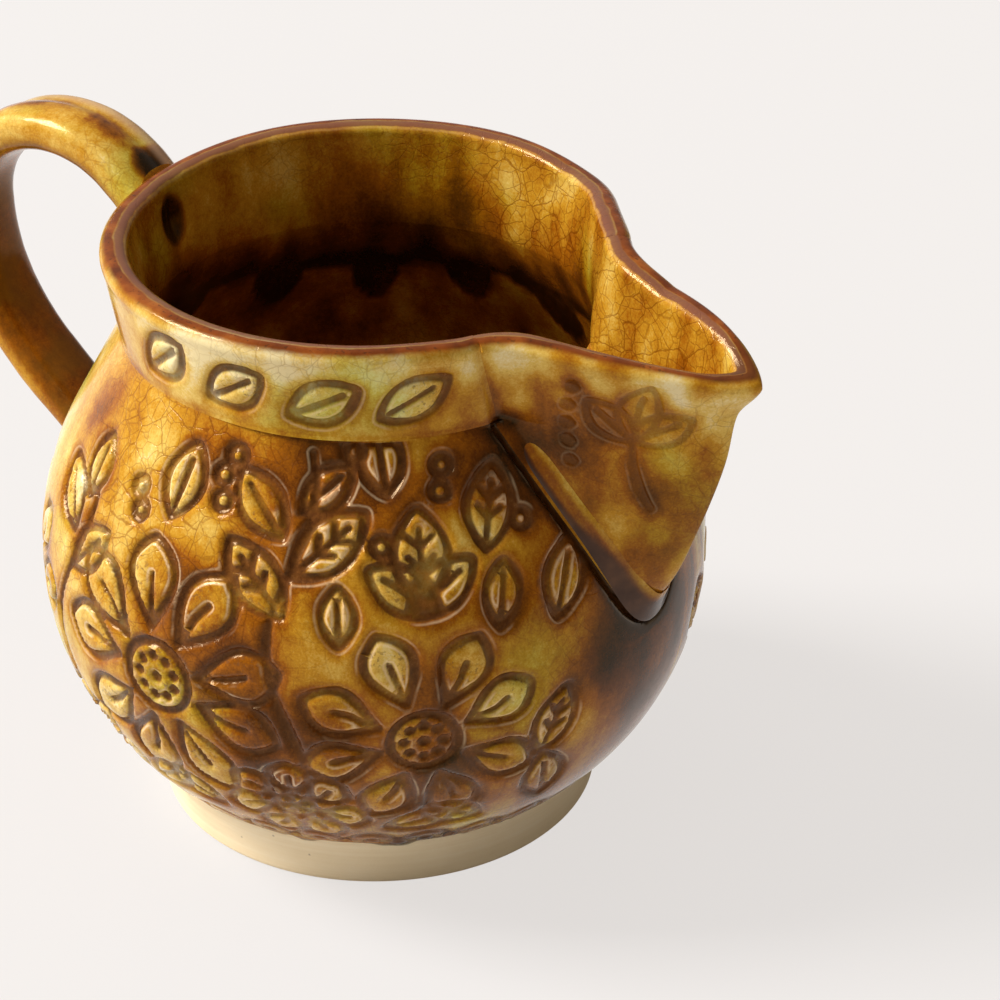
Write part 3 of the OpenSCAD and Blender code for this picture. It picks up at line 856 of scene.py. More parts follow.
def belly_pool(points, inside, beside):
    """How deep the glaze lies on the belly, from 0 to 1: broad runs, the crease, the seam with painted shade
    beside it, the foot, and a paler patch on the handle's side that is partly a painted highlight.
    """
    azimuth = facing(points)
    z = points[:, 2]
    depth = 0.37 + 0.11 * ease(92.0 - azimuth, 0.0, 30.0) + 0.07 * drift(points, 26.0, 3)
    depth += 0.05 * drift(points, 11.0, 4)
    depth += 0.09 * np.maximum(0.0, drift(points * (1.0, 1.0, 0.35), 12.0, 5))
    depth += 0.09 * bell(azimuth, 64.0, 17.0) * ease(z, 63.0, 72.0)
    depth += 0.12 * np.exp(-(CREASE[1] - z) / 2.2)
    # Darker beside the spout's seam: pooled glaze and painted shade in the corner.
    depth += 0.55 * beside
    depth += 0.40 * bell(azimuth, 6.0, 8.0) * ease(56.0 - z, 0.0, 11.0) * ease(z, 16.0, 44.0)
    around = np.where(points[:, 1] > 0.0, azimuth, 0.0)
    streaks = 0.20 * np.sin(around * 0.9) ** 3 - 0.14
    depth += ease(around, 4.0, 14.0) * ease(70.0 - around, 0.0, 20.0) * streaks
    # Paler and darker patches. The paler one at azimuth 128, high on the handle's side where the light falls,
    # is partly lighter glaze and partly a painted highlight.
    for more, middle, wide, height, tall in (
            (-0.24, 38.0, 12.0, 65.0, 8.0), (-0.26, 128.0, 32.0, 57.0, 18.0), (0.17, 62.0, 14.0, 41.0, 12.0),
            (-0.12, 100.0, 26.0, 24.0, 9.0), (-0.09, 66.0, 18.0, 20.0, 8.0), (-0.06, 30.0, 14.0, 46.0, 11.0)):
        depth += more * bell(azimuth, middle, wide) * bell(z, height, tall)
    depth += 0.40 * np.exp(-(z - 8.6) / 1.1) - 0.13 * ease(24.0 - z, 0.0, 10.0)
    return np.where(inside > 0.5, inside_pool(points), depth)


def open_turn(half, share):
    """Angles round the jug from one side of a gap to the other, for gaps of a half angle."""
    return half + (FULL_TURN - 2.0 * half) * share


def belly_mesh(parts):
    """The belly's wall: a finely stepped outside, a coarser inside, open behind the spout."""
    rows = 150
    columns = 540
    ratio = 2
    step = 3
    t = np.linspace(0.0, BELLY_T, rows + 1)
    z = np.interp(t, meridian_t, meridian_z)
    r = np.interp(t, meridian_t, meridian_r)
    mouth = 11.7 * np.sqrt(np.clip((z - 50.0) / 39.4, 0.0, None))
    half = np.arcsin(mouth / r)
    turn = open_turn(half[:, None], np.linspace(0.0, 1.0, columns + 1)[None, :])
    edge = polar(35.0, turn[0], 0.0)
    ragged = np.clip(0.35 + 0.22 * drift(edge, 5.0, 9) + 0.12 * drift(edge, 1.8, 10), 0.05, 0.9)
    rr = np.repeat(r[:, None], columns + 1, 1)
    zz = np.repeat(z[:, None], columns + 1, 1)
    rr[0] = 35.2
    rr[1] = 35.85
    zz[0] -= ragged
    zz[1] -= ragged * 0.6
    outer = polar(rr, turn, zz).reshape(-1, 3)
    in_r = (r - WALL * np.gradient(z, t))[::step]
    in_z = (z + WALL * np.gradient(r, t))[::step]
    in_z[-1] = CREASE_IN[1]
    in_r = np.where(in_z > TOUCH_IN_Z, inner_r(in_z), in_r)
    in_half = np.arcsin(np.clip(mouth[::step] / in_r, 0.0, 0.9))
    floor_r = [26.5, 28.6, 30.9]
    floor_z = [9.12, 9.5, 10.6]
    in_r = np.concatenate([floor_r, in_r])
    in_z = np.concatenate([floor_z, in_z])
    in_half = np.concatenate([np.zeros(len(floor_r)), in_half])
    in_turn = open_turn(in_half[:, None], np.linspace(0.0, 1.0, columns // ratio + 1)[None, :])
    inner = polar(in_r[:, None], in_turn, in_z[:, None]).reshape(-1, 3)
    points = np.concatenate([outer, inner])
    width = columns + 1
    fine_rows = number_rows(rows + 1, width)
    wide_rows = number_rows(len(in_r), columns // ratio + 1, len(outer))
    faces = []
    for low, high in zip(fine_rows[:-1], fine_rows[1:]):
        strip(low, high, faces)
    for low, high in zip(wide_rows[:-1], wide_rows[1:]):
        strip(high, low, faces)
    fan_strip(fine_rows[-1], wide_rows[-1], ratio, faces)
    fan_strip(fine_rows[0], wide_rows[0], ratio, faces)
    open_row = int(np.argmax(half > 0.0)) // step * step
    for side in (0, -1):
        fine_edge = [row[side] for row in fine_rows[open_row:]]
        wide_edge = [row[side] for row in wide_rows[len(floor_r) + open_row // step:]]
        fan_strip(fine_edge, wide_edge, step, faces)
    inside = np.concatenate([np.zeros(len(outer)), np.ones(len(inner))])
    skin = np.zeros(len(points))
    skin[width * 3:len(outer) - width] = 1.0
    raised = np.concatenate([raised_on_belly(turn, t, parts).reshape(-1), np.zeros(len(inner))])
    height = points[:, 2]
    beside = seam_shade(points)
    craze = 0.9 * bell(facing(points), 98.0, 36.0) * ease(height, 34.0, 54.0) * (inside < 0.5)
    wear_and_highlight = (0.4 + 0.6 * ease(height, 14.0, 30.0)) * np.clip(1.0 - 1.3 * beside, 0.0, 1.0)
    values = {"skin": skin, "pool": np.clip(belly_pool(points, inside, beside), 0.0, 1.0), "raised": raised,
              "give": 0.5 + 0.5 * ease(height, 13.0, 26.0), "craze": craze, "wear_and_highlight": wear_and_highlight}
    return points, faces, values


belly_glaze = glaze_material("belly glaze")[0]
belly_design = belly_parts()
bold_lines, fine_lines = belly_pattern(belly_design)
bold_lines.append(beside_seam(np.linspace(-SEAM_END, SEAM_END, 160), np.full(160, 2.3)))
belly_clay = mesh_object("belly_clay", *belly_mesh(belly_design))
belly = press_piece(belly_clay, "belly_wall", bold_lines, fine_lines, 0.00075, belly_glaze)
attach(belly, "root")
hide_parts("belly")


# Collar: the flaring band above the crease, thrown or pressed apart and luted on, with a row of leaves
# pressed into it, a rounded rim where the glaze burns rust brown, and a fingertip's dent at the handle.

ROWS_UP = 25
RIM_STEPS = 16
RIM_RISE = 1.6
COLLAR_MEAN_R = 37.0


def up_collar(z):
    """Share of the collar's height."""
    return (z - CREASE[1]) / (LIP[1] - CREASE[1])


def root_half(z):
    """Half angle at which the collar ends and the spout's flare begins, at a height."""
    y = SPOUT_HALF * np.sqrt((z - KEEL_Z) / SEAM_RISE)
    r = body_r(z)
    return np.arcsin(y / r) + (1.6 + 1.9 * up_collar(z)) / r


def luted(away):
    """Depth of the shallow groove where the spout's flare is luted to the collar, by distance from it."""
    return 0.55 * bell(away, 0.0, 1.4)


def below_rim(z):
    """1 on the wall, falling to 0 at the rim."""
    return ease(94.0 - z, 0.0, 5.0)


def from_dent(turn, z):
    """Distance from the middle of the fingertip's dent inside the collar."""
    return np.hypot((turn - math.pi - 0.12) * 34.0, (z - 85.0) * 0.75)


def by_hand(points):
    """Moves points as the potter's hands did: the rim pinched in beside the spout and not quite level."""
    x, y, z = points.T
    up = ease(z, 76.0, 91.0)
    azimuth = facing(points)
    pinch = up * np.where(y > 0.0, 1.7 * bell(azimuth, 43.0, 15.0), 0.7 * bell(azimuth, 34.0, 11.0))
    moved = widen(points, 1.0 - pinch / from_axis(points))
    high = 1.3 * ease(y, -12.0, 24.0)
    nose = 2.9 * ease(x, 36.0, 58.0) * ease(y, -4.5, 5.0)
    low = np.where(y < 0.0, 0.6 * bell(azimuth, 31.0, 11.0), 0.9 * bell(azimuth, 68.0, 16.0))
    moved[:, 2] += up * (np.maximum(high, nose) - low)
    return moved


def rim_cap(outer, inner):
    """Rows of points over a rounded rim, from an outer row to an inner row of points."""
    rows = []
    for k in range(1, RIM_STEPS):
        a = math.pi * k / RIM_STEPS
        across = math.copysign(abs(math.cos(a)) ** 0.8, math.cos(a))
        up = np.array([0.0, 0.0, RIM_RISE * math.sin(a) ** 0.85])
        rows.append((outer + inner) / 2.0 + (outer - inner) / 2.0 * across + up)
    return rows


def rim_distance(rows):
    """Length over the rim from its crown, positive outwards, for rows of points from outside to inside."""
    rows = np.asarray(rows)
    gaps = np.linalg.norm(np.diff(rows, axis=0), axis=2)
    run = np.concatenate([np.zeros((1, rows.shape[1])), np.cumsum(gaps, 0)])
    crown = np.argmax(rows[:, :, 2], axis=0)
    return (run[crown, np.arange(rows.shape[1])][None, :] - run).reshape(-1)


def wall_pool(points, inside, rim):
    """Glaze depth on collar and spout: thin below the rim outside, darker round the seam's upper ends with
    pooled glaze and painted shade, amber to dark brown inside.
    """
    outside = 0.24 + 0.06 * drift(points, 16.0, 21) + 0.06 * drift(points * (1, 1, 0.5), 7.0, 22)
    outside -= 0.14 * bell(rim, 5.0, 2.6)
    # Darker round the seam's upper ends: pooled glaze and painted shade.
    outside += 0.36 * bell(from_seam_end(points), 0.0, 1.7)
    return np.where(inside > 0.5, inside_pool(points), outside)


def tube(rows):
    """Rows of points joined into a tube: its points, their numbers in rows, and its faces."""
    numbers = number_rows(len(rows), len(rows[0]))
    faces = []
    for low, high in zip(numbers, numbers[1:] + numbers[:1]):
        strip(low, high, faces)
    return np.concatenate(rows), numbers, faces


def from_row_end(width, rows):
    """Steps from the nearer end of its row, for each point of rows."""
    column = np.tile(np.arange(width), rows)
    return np.minimum(column, width - 1 - column)


def collar_mesh():
    """The collar as rows round the jug, from the crease up outside, over the rim and down inside."""
    columns = 440
    width = columns + 1
    share = np.linspace(0.0, 1.0, width)
    around = FULL_TURN * COLLAR_MEAN_R
    heights = np.linspace(CREASE[1], LIP[1], ROWS_UP + 1)
    rows = []
    back = []
    for z in heights:
        a = open_turn(float(root_half(z)), share)
        azimuth = np.degrees(np.abs(np.where(a > math.pi, a - FULL_TURN, a)))
        proud = 0.5 * math.exp(-(z - CREASE[1]) / 1.5) * np.exp(-((azimuth - 58.0) / 26.0) ** 4)
        groove = float(below_rim(z)) * luted(np.minimum(share, 1.0 - share) * around)
        rows.append(polar(float(body_r(z)) + proud - groove, a, z))
        back.insert(0, polar(float(inner_r(z)) + 1.3 * bell(from_dent(a, z), 0.0, 2.9), a, z))
    every = rows + rim_cap(rows[-1], back[0]) + back
    rim = rim_distance(every)
    points, numbers, faces = tube(every)
    for side in (0, -1):
        faces.append(tuple(row[side] for row in numbers))
    z = points[:, 2]
    inside = np.zeros(len(points))
    inside[width * (len(rows) + RIM_STEPS // 2):] = 1.0
    outside = inside < 0.5
    skin = np.zeros(len(points))
    skin[width:width * (ROWS_UP - 1)] = 1.0
    turn = np.mod(np.arctan2(points[:, 1], points[:, 0]), FULL_TURN)
    raised = np.zeros(len(points))
    for thick, _, middle in collar_parts():
        x = (turn - math.radians(middle)) * body_r(z)
        near = (np.abs(x) < 14.0) & (skin > 0.5)
        raised[near] = np.maximum(raised[near], within(x[near], z[near] - CREASE[1], thick[0]))
    from_end = from_row_end(width, len(every)) * around / columns
    pool = wall_pool(points, inside, rim)
    pool = pool + 0.7 * ease(3.4 - from_dent(turn, z), 0.0, 1.6) * inside
    pool = pool + 0.25 * np.exp(-np.abs(z - 77.3) / 0.9) * outside
    pool = pool + 0.20 * bell(from_end, 0.0, 1.2) * outside * below_rim(z)
    values = {"skin": skin, "pool": np.clip(pool, 0.0, 1.0), "rim": rim, "raised": raised,
              "give": ease(from_end, 0.4, 5.0), "craze": inside * ease(130.0 - facing(points), 0.0, 50.0),
              "wear_and_highlight": np.full(len(points), 0.8)}
    return by_hand(points), faces, values


def rim_group():
    """Node group of the rim: a pale line inside that is partly thin glaze and partly a painted highlight, a
    mauve crown, a cracked rust line, then the wall.
    """
    tree, into, end, _ = new_group("rust rim", "ShaderNodeTree", {"Wall": "Color", "Rim": "Float"},
                                   {"Colour": "Color"})
    spot = object_spot(tree)
    away = into["Rim"] + (noise(spot, 240.0, 4.0) - 0.5)
    band = span(away, -0.3, 0.2) * span(away, 1.1, 2.6, 1.0, 0.0)
    rust = ramp(noise(spot, 260.0, 4.0),
                [(0.3, (0.10, 0.018, 0.002)), (0.55, (0.20, 0.042, 0.004)), (0.75, (0.32, 0.09, 0.012))])
    cracks = span(noise(stretch(spot, (1500.0, 1500.0, 130.0)), 1.0, 2.0), 0.60, 0.70)
    rust = blend(cracks * 0.6, rust, (0.05, 0.014, 0.004, 1.0))
    colour = blend(band, into["Wall"], rust)
    crown = span(away, -1.7, -1.3) * span(away, -0.3, 0.2, 1.0, 0.0)
    colour = blend(crown * 0.9, colour, (0.165, 0.058, 0.034, 1.0))
    # Pale line inside the crown: partly thin glaze, partly a painted highlight.
    thin_glaze_and_highlight = span(away, -2.1, -1.8) * span(away, -1.7, -1.4, 1.0, 0.0)
    colour = blend(thin_glaze_and_highlight * 0.3, colour, (0.55, 0.32, 0.12, 1.0))
    nose = span(axes(spot)[0], 0.056, 0.065)
    burnt = nose * calc("MAXIMUM", band, crown) * 0.8
    feed(end, {"Colour": blend(burnt, colour, (0.06, 0.018, 0.006, 1.0))})
    return tree


rim_paint = rim_group()


def rim_material(name):
    """The amber glaze with the rust rim over it."""
    made, tree, shader, coat = glaze_material(name)
    edge = flow(tree, "ShaderNodeGroup", {"Wall": Flow(coat, "Colour"), "Rim": value_of(tree, "rim")},
                "Colour", node_tree=rim_paint)
    feed(shader, {"Base Color": edge})
    return made


def collar_parts():
    """The collar's leaves, each as bold and fine flat lines with the azimuth it sits at."""
    parts = []
    count = 15
    rng = np.random.default_rng(7)
    for k in range(count):
        thick, thin = leaf(rng.uniform(10.6, 11.4), 6.4, 58.0 + rng.uniform(-6.0, 6.0), -4.8, 3.2)
        middle = 43.0 + 274.0 * k / (count - 1)
        if abs(middle - 180.0) > 62.0:
            parts.append((thick, thin, middle))
    return parts


def collar_pattern():
    """A row of slanted leaves round the collar, which is plain towards the handle."""
    bold = []
    fine = []
    for thick, thin, middle in collar_parts():
        for kind, lines in ((bold, thick), (fine, thin)):
            for line in lines:
                x, y = even_steps(line)
                z = CREASE[1] + y
                r = body_r(z)
                kind.append(by_hand(polar(r, math.radians(middle) + x / r, z)))
    return bold, fine


collar_clay = mesh_object("collar_clay", *collar_mesh())
collar = press_piece(collar_clay, "collar_wall", *collar_pattern(), 0.0006, rim_material("collar glaze"))
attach(collar, "root")
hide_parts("collar")


# Spout: a beak folded from a sheet of clay and luted over a cut in collar and belly. Its lip flows out of
# the rim in a soft curve, and its two flat sides carry a shallow sprig that the glaze half fills.

KEEL = np.array([(49.65, 46.5), (58.95, 58.0), (60.8, 73.4), (66.0, 84.9)])
KEEL_WALL = 5.2
SIDE_WALL = 3.8
FLARE_STEPS = 12
SIDE_STEPS = 62
LOW_ROWS = 63
INNER_STEP = 3
SIDE_W = 1.0 - (1.0 - np.linspace(0.0, 1.0, SIDE_STEPS + 1)) ** 1.45


def bend(q, start, corner, end):
    """Points of a quadratic curve at shares q."""
    return (1 - q) ** 2 * start + 2 * q * (1 - q) * corner + q * q * end


def swoop(q, a, b, c, d):
    """Points of a cubic curve at shares q."""
    return (1 - q) ** 3 * a + 3 * q * (1 - q) ** 2 * b + 3 * q * q * (1 - q) * c + q ** 3 * d


def keel_at(u):
    """The beak's front edge, as x and z, for u from 0 at its foot to 1 at the lip."""
    return swoop(np.asarray(u, float)[..., None], *KEEL)


def front_at(u):
    """The front edge as a fingertip left it, tucked in under the lip so that the lip stands out."""
    nose = keel_at(u)
    under = KEEL[3][1] - nose[..., 1]
    below = np.maximum(0.0, under - 4.6)
    tuck = ease(under, 0.2, 4.6) * (0.7 + 1.1 * bell(below, 0.0, 5.0)) * ease(36.0 - under, 0.0, 12.0)
    return nose - np.stack([tuck, np.zeros_like(tuck)], -1)


def beak_side(w, root, nose, half):
    """Points on a side of the beak, w from 0 at the root to 1 at the front edge."""
    y = half * (1.0 - w ** 1.1) ** 0.75
    x = root[0] + (nose[0] - root[0]) * w
    z = root[2] + (nose[1] - root[2]) * w
    return np.stack([x, y, z], -1)


def half_row(start_turn, r, z, edge, side):
    """A side of the beak after the curve that leads to it, which starts on the wall at an angle."""
    start = np.array([r * math.cos(start_turn), r * math.sin(start_turn), z])
    along = np.array([math.sin(start_turn), -math.cos(start_turn), 0.0])
    corner = start + along * np.linalg.norm(edge - start)
    q = np.linspace(0.0, 1.0, FLARE_STEPS + 1)[:-1, None]
    return np.concatenate([bend(q, start, corner, side[0]), side])


def outer_half_row(u):
    """One side of the beak's outer row at level u, from its start on the jug to the front edge."""
    root = seam_root(math.sqrt(u))
    z = root[2]
    r = float(body_r(z))
    if z >= CREASE[1]:
        start_turn = float(root_half(z))
        reach = 0.10 + 0.09 * up_collar(z)
    else:
        start_turn = math.asin(root[1] / r) + 2.4 / r
        reach = 0.10
    side = beak_side(reach + (1.0 - reach) * SIDE_W, root, front_at(u), root[1])
    skin = body_r(side[:, 2]) + 0.02
    on_wall = np.sqrt(np.maximum(0.0, skin ** 2 - side[:, 1] ** 2))
    side[:, 0] = np.where(from_axis(side) < skin, on_wall, side[:, 0])
    return half_row(start_turn, r, z, root, side)


def inner_half_row(u):
    """One side of the channel's inner row at level u, with as many points as the outer row."""
    root = seam_root(math.sqrt(u))
    nose = keel_at(u)
    z = root[2]
    r = float(inner_r(z))
    half = max(0.4 * root[1], root[1] - SIDE_WALL)
    edge = np.array([math.sqrt(r * r - half * half), half, z])
    if z >= CREASE[1]:
        start_turn = float(root_half(z))
        reach = 0.18
    else:
        start_turn = math.asin(min(0.9, (half + 2.6) / r))
        reach = 0.12
    tip = (max(nose[0] - KEEL_WALL, edge[0] + 0.3), nose[1])
    side = beak_side(reach + (1.0 - reach) * SIDE_W, edge, tip, half)
    return half_row(start_turn, r, z, edge, side)


def both_sides(row):
    """A full row from one side's start over the front edge to the other side's start."""
    return np.concatenate([row, row[::-1][1:] * (1.0, -1.0, 1.0)])


def spout_mesh():
    """The beak: outer rows upwards, the rounded lip, and inner rows down into the jug."""
    low = np.linspace(0.0, (CREASE[1] - KEEL_Z) / SEAM_RISE, LOW_ROWS)
    high = np.linspace(low[-1], 1.0, ROWS_UP + 1)[1:]
    levels = np.concatenate([low, high])
    levels[0] = 0.0015
    outer = [both_sides(outer_half_row(u)) for u in levels]
    inner = [both_sides(inner_half_row(u)) for u in levels[::-INNER_STEP]]
    cap = rim_cap(outer[-1], inner[0])
    every = outer + cap + inner
    rim = rim_distance(every)
    points, numbers, faces = tube(every)
    width = len(outer[0])
    top = len(outer) - 1
    first_inner = len(outer) + len(cap)
    for side in (0, -1):
        faces.append(tuple(row[side] for row in numbers[top:first_inner + 1]))
        for k in range(len(inner) - 1):
            fine = [numbers[top - INNER_STEP * k - j][side] for j in range(INNER_STEP + 1)]
            faces.append(tuple(fine + [numbers[first_inner + k + 1][side], numbers[first_inner + k][side]]))
    z = points[:, 2]
    inside = np.zeros(len(points))
    inside[width * (len(outer) + RIM_STEPS // 2):] = 1.0
    outside = inside < 0.5
    from_start = from_row_end(width, len(every))
    skin = np.where(outside & (from_start > FLARE_STEPS), 1.0, 0.0)
    skin[width * (len(outer) - 2):] = 0.0
    valley = bell(from_start, FLARE_STEPS + 1.0, 6.0) * outside * ease(91.0 - z, 0.0, 4.0)
    pool = wall_pool(points, inside, rim)
    pool = pool + 0.12 * valley + outside * (0.16 + 0.05 * ease(82.0 - z, 0.0, 14.0))
    pool = pool - 0.05 * inside + 0.07 * drift(points, 7.0, 27) * outside
    gaps = np.linalg.norm(np.diff(np.asarray(every), axis=1), axis=2)
    run = np.concatenate([np.zeros((len(every), 1)), np.cumsum(gaps, 1)], 1)
    away = np.minimum(run, run[:, -1:] - run).reshape(-1)
    on_collar = outside & (z >= CREASE[1] - 0.01)
    pool = pool + 0.20 * bell(away, 0.0, 1.2) * on_collar * below_rim(z)
    below_cap = np.arange(len(points)) < width * len(outer)
    sunk = np.where(on_collar & below_cap, luted(away) * below_rim(z), 0.0)
    points = widen(points, 1.0 - sunk / from_axis(points))
    values = {"skin": skin, "pool": np.clip(pool, 0.0, 1.0), "rim": rim, "give": np.full(len(points), 0.6),
              "craze": inside * 0.9, "wear_and_highlight": np.full(len(points), 0.25)}
    return by_hand(points), faces, values


def spout_pattern():
    """A sprig of three leaves and a row of dots on each side of the beak."""
    bold = []
    fine = []
    stem = [(0.0, 0.0), (-0.6, -4.0), (-0.2, -8.0), (0.8, -11.0)]
    thin = []
    for angle, length in ((-46.0, 8.6), (2.0, 10.5), (50.0, 8.6)):
        outline, veins = leaf(length, 5.0, angle, 0.0, 0.0)
        thin.extend(outline + veins)
    thin.extend(ring(0.55, -8.6, -5.0 + 3.2 * k, 10) for k in range(5))
    for kind, lines in ((bold, [stem]), (fine, thin)):
        for line in lines:
            spots = []
            for right, up in zip(*even_steps(line)):
                u = min(0.97, max(0.2, 0.72 + up / SEAM_RISE))
                root = seam_root(math.sqrt(u))
                nose = front_at(u)
                w = min(0.95, max(0.2, 0.60 + right / max(8.0, nose[0] - root[0])))
                spots.append(beak_side(w, root, nose, root[1]))
            spots = np.array(spots)
            kind.append(by_hand(spots))
            kind.append(by_hand(spots * (1.0, -1.0, 1.0)))
    return bold, fine


spout_clay = mesh_object("spout_clay", *spout_mesh())
spout = press_piece(spout_clay, "spout_beak", *spout_pattern(), 0.0005, rim_material("spout glaze"))
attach(spout, "root")
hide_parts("spout")


# Spout seam: a thin coil of clay smoothed into the corner between spout and belly with a fingertip, from
# the crease down under the keel and up again. The glaze pools on it in a dark, even, shining band.


def seam_mesh():
    """The smoothed coil: a low bead over the corner between the belly's skin and the beak."""
    count = 150
    around = 12
    p = np.linspace(-SEAM_END, SEAM_END, count)
    root = seam_root(p)
    along = seam_along(p)
    normal = skin_normal(root)
    ends = ease(SEAM_END - np.abs(p), 0.0, 0.10)
    width = (1.7 + 0.9 * bell(p, 0.0, 0.45)) * (0.35 + 0.65 * ends)
    start = beside_seam(p, width)
    nose = keel_at(np.maximum(p * p, 1e-4))
    forward = unit(np.stack([nose[:, 0] - root[:, 0], -0.75 * root[:, 1], nose[:, 1] - root[:, 2]], -1))
    keel_way = np.array([0.63, 0.0, 0.78])
    share = ease(np.abs(p), 0.05, 0.4)[:, None]
    forward = forward * share + keel_way * (1.0 - share)
    forward = unit(forward - along * (forward * along).sum(1)[:, None])
    finish = root + forward * (width * 1.15)[:, None]
    open_way = unit(normal * 0.5 + np.cross(along, normal) * 0.9)
    rows = []
    for k in range(around + 1):
        q = k / around
        lift = 0.62 * math.sin(math.pi * q) ** 0.7
        rows.append(bend(q, start, root, finish) + open_way * (lift * ends + 0.04)[:, None] - normal * 0.05)
    for q in (0.8, 0.5, 0.2):
        rows.append(bend(q, start, root, finish) - open_way * 1.1)
    points, numbers, faces = tube(rows)
    for end in (0, -1):
        faces.append(tuple(row[end] for row in numbers))
    across = np.repeat(np.arange(len(rows)), count)
    across = np.where(across > around + 1, 0, across)
    upper = np.tile(ease(np.abs(p), 0.42, 0.70), len(rows))
    pool = 0.80 + 0.05 * drift(points, 9.0, 31) + 0.20 * ease(3.0 - across, 0.0, 2.5)
    pool = pool - 0.30 * ease(across, 8.0, 11.0) - 0.28 * upper * ease(across, 2.5, 5.5)
    return points, faces, {"pool": np.clip(pool, 0.0, 1.0), "groove": np.full(len(points), NO_GROOVE),
                           "band": ease(10.5 - 6.5 * upper - across, -1.5, 2.5)}


def seam_material(name):
    """The amber glaze with a smooth purple-brown band where it lies thick over the coil."""
    made, tree, shader, coat = glaze_material(name, 0.25)
    thick = ramp(noise(object_spot(tree), 240.0, 3.0),
                 [(0.35, (0.040, 0.017, 0.010)), (0.5, (0.062, 0.028, 0.016)), (0.65, (0.10, 0.045, 0.022))])
    feed(shader, {"Base Color": blend(value_of(tree, "band") * 0.9, Flow(coat, "Colour"), thick),
                  "Specular Tint": (1.0, 0.85, 0.75, 1.0)})
    return made


seam = face_out(mesh_object("spout_seam", *seam_mesh()), 60.0)
seam.data.materials.append(seam_material("seam glaze"))
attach(seam, "root")
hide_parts("spout_seam_coil")


# Handle: a strap pulled from a lump of clay by wet fingers, which leave a shallow trough down its outer
# face. It rises from the collar, turns over a low crown and comes back to the belly.

HANDLE_WIDE = 12.4
HANDLE_TOP_T = 8.0
HANDLE_LOW_T = 6.0
HANDLE_TOP = (37.07, 81.5, 47.0)
HANDLE_CROWN = (57.0, 92.8)
HANDLE_BACK = (77.4, 75.0)
HANDLE_LOW = (49.93, 38.5, 38.0)


def slope_way(degrees):
    """Direction away from the jug at a slope, as lengths out and up."""
    return np.array([math.cos(math.radians(degrees)), math.sin(math.radians(degrees))])


def handle_path():
    """The strap's middle line in x and z, from inside the collar's wall to inside the belly's wall."""
    top = np.array(HANDLE_TOP[:2])
    low = np.array(HANDLE_LOW[:2])
    crown = np.array(HANDLE_CROWN)
    back = np.array(HANDLE_BACK)
    reach = math.hypot(*(crown - top)) * 0.4
    first = swoop(np.linspace(0.0, 1.0, 50)[:, None], top, top + reach * slope_way(HANDLE_TOP[2]),
                  crown - (reach, 0.0), crown)
    a = np.linspace(math.pi / 2, 0.0, 60)[1:]
    second = np.stack([crown[0] + (back[0] - crown[0]) * np.cos(a),
                       back[1] + (crown[1] - back[1]) * np.sin(a)], -1)
    reach = math.hypot(*(back - low)) * 0.4
    third = swoop(np.linspace(0.0, 1.0, 70)[:, None], back, back - (0.0, reach),
                  low + reach * slope_way(HANDLE_LOW[2]), low)[1:]
    line = np.concatenate([first, second, third])
    start = line[0] - 4.6 * (line[1] - line[0]) / np.linalg.norm(line[1] - line[0])
    end = line[-1] + 4.0 * (line[-1] - line[-2]) / np.linalg.norm(line[-1] - line[-2])
    line = np.concatenate([[start], line, [end]])
    return np.stack([-line[:, 0], np.zeros(len(line)), line[:, 1]], -1)


def strap_tree():
    """Geometry tree that draws a rounded strap along a path, with a trough down its outer face.

    Across keeps the place across the strap from -1 to 1, Outer the side, and Along the share of the path."""
    tree, into, end, keys = new_group(
        "pulled strap", "GeometryNodeTree",
        {"Path": "Geometry", "Steps Along": "Int", "Steps Around": "Int", "Width": "Float",
         "Top Thickness": "Float", "Low Thickness": "Float", "Trough": "Float", "Glaze": "Material"},
        {"Strap": "Geometry"})
    mesh, x, y = unit_grid(tree, into["Steps Along"], into["Steps Around"])
    share = span(x, -0.498, 0.498, 0.0, 1.0, False)
    inside = calc("LESS_THAN", abs(x), 0.4999)
    turn = (y + 0.5) * FULL_TURN

    def round_off(wave):
        """Squares off a wave into the rounded box of the strap's section."""
        return calc("POWER", abs(wave), 0.75) * calc("SIGN", wave)

    across = round_off(calc("COSINE", turn))
    outer = round_off(calc("SINE", turn))
    line = on_curve(into["Path"], share)
    spot = Flow(line, "Position")
    side = flow(tree, "ShaderNodeVectorMath", {0: (0.0, 1.0, 0.0), 1: Flow(line, "Tangent")},
                operation="CROSS_PRODUCT")
    thick = into["Top Thickness"] + share * (into["Low Thickness"] - into["Top Thickness"])
    trough = span(outer, 0.2, 0.9) * span(abs(across - 0.3), 0.0, 0.42, 1.0, 0.0) * into["Trough"]
    slack = 1.0 - noise(spot, 110.0, 2.0) * 0.07
    high = (outer * (thick * 0.5) * slack - trough) * inside
    wide = across * (into["Width"] * 0.5) * (slack * inside)
    up = flow(tree, "ShaderNodeVectorMath", {0: side, "Scale": high}, operation="SCALE")
    there = spot
    for shift in (up, flow(tree, "ShaderNodeCombineXYZ", {"Y": wide})):
        there = flow(tree, "ShaderNodeVectorMath", {0: there, 1: shift}, operation="ADD")
    for name, value in (("across", across), ("outer", outer), ("along", share)):
        mesh = store(mesh, name, value)
    moved = flow(tree, "GeometryNodeSetPosition", {"Geometry": mesh, "Position": there})
    dress(end, merged(moved), into["Glaze"])
    return tree, keys


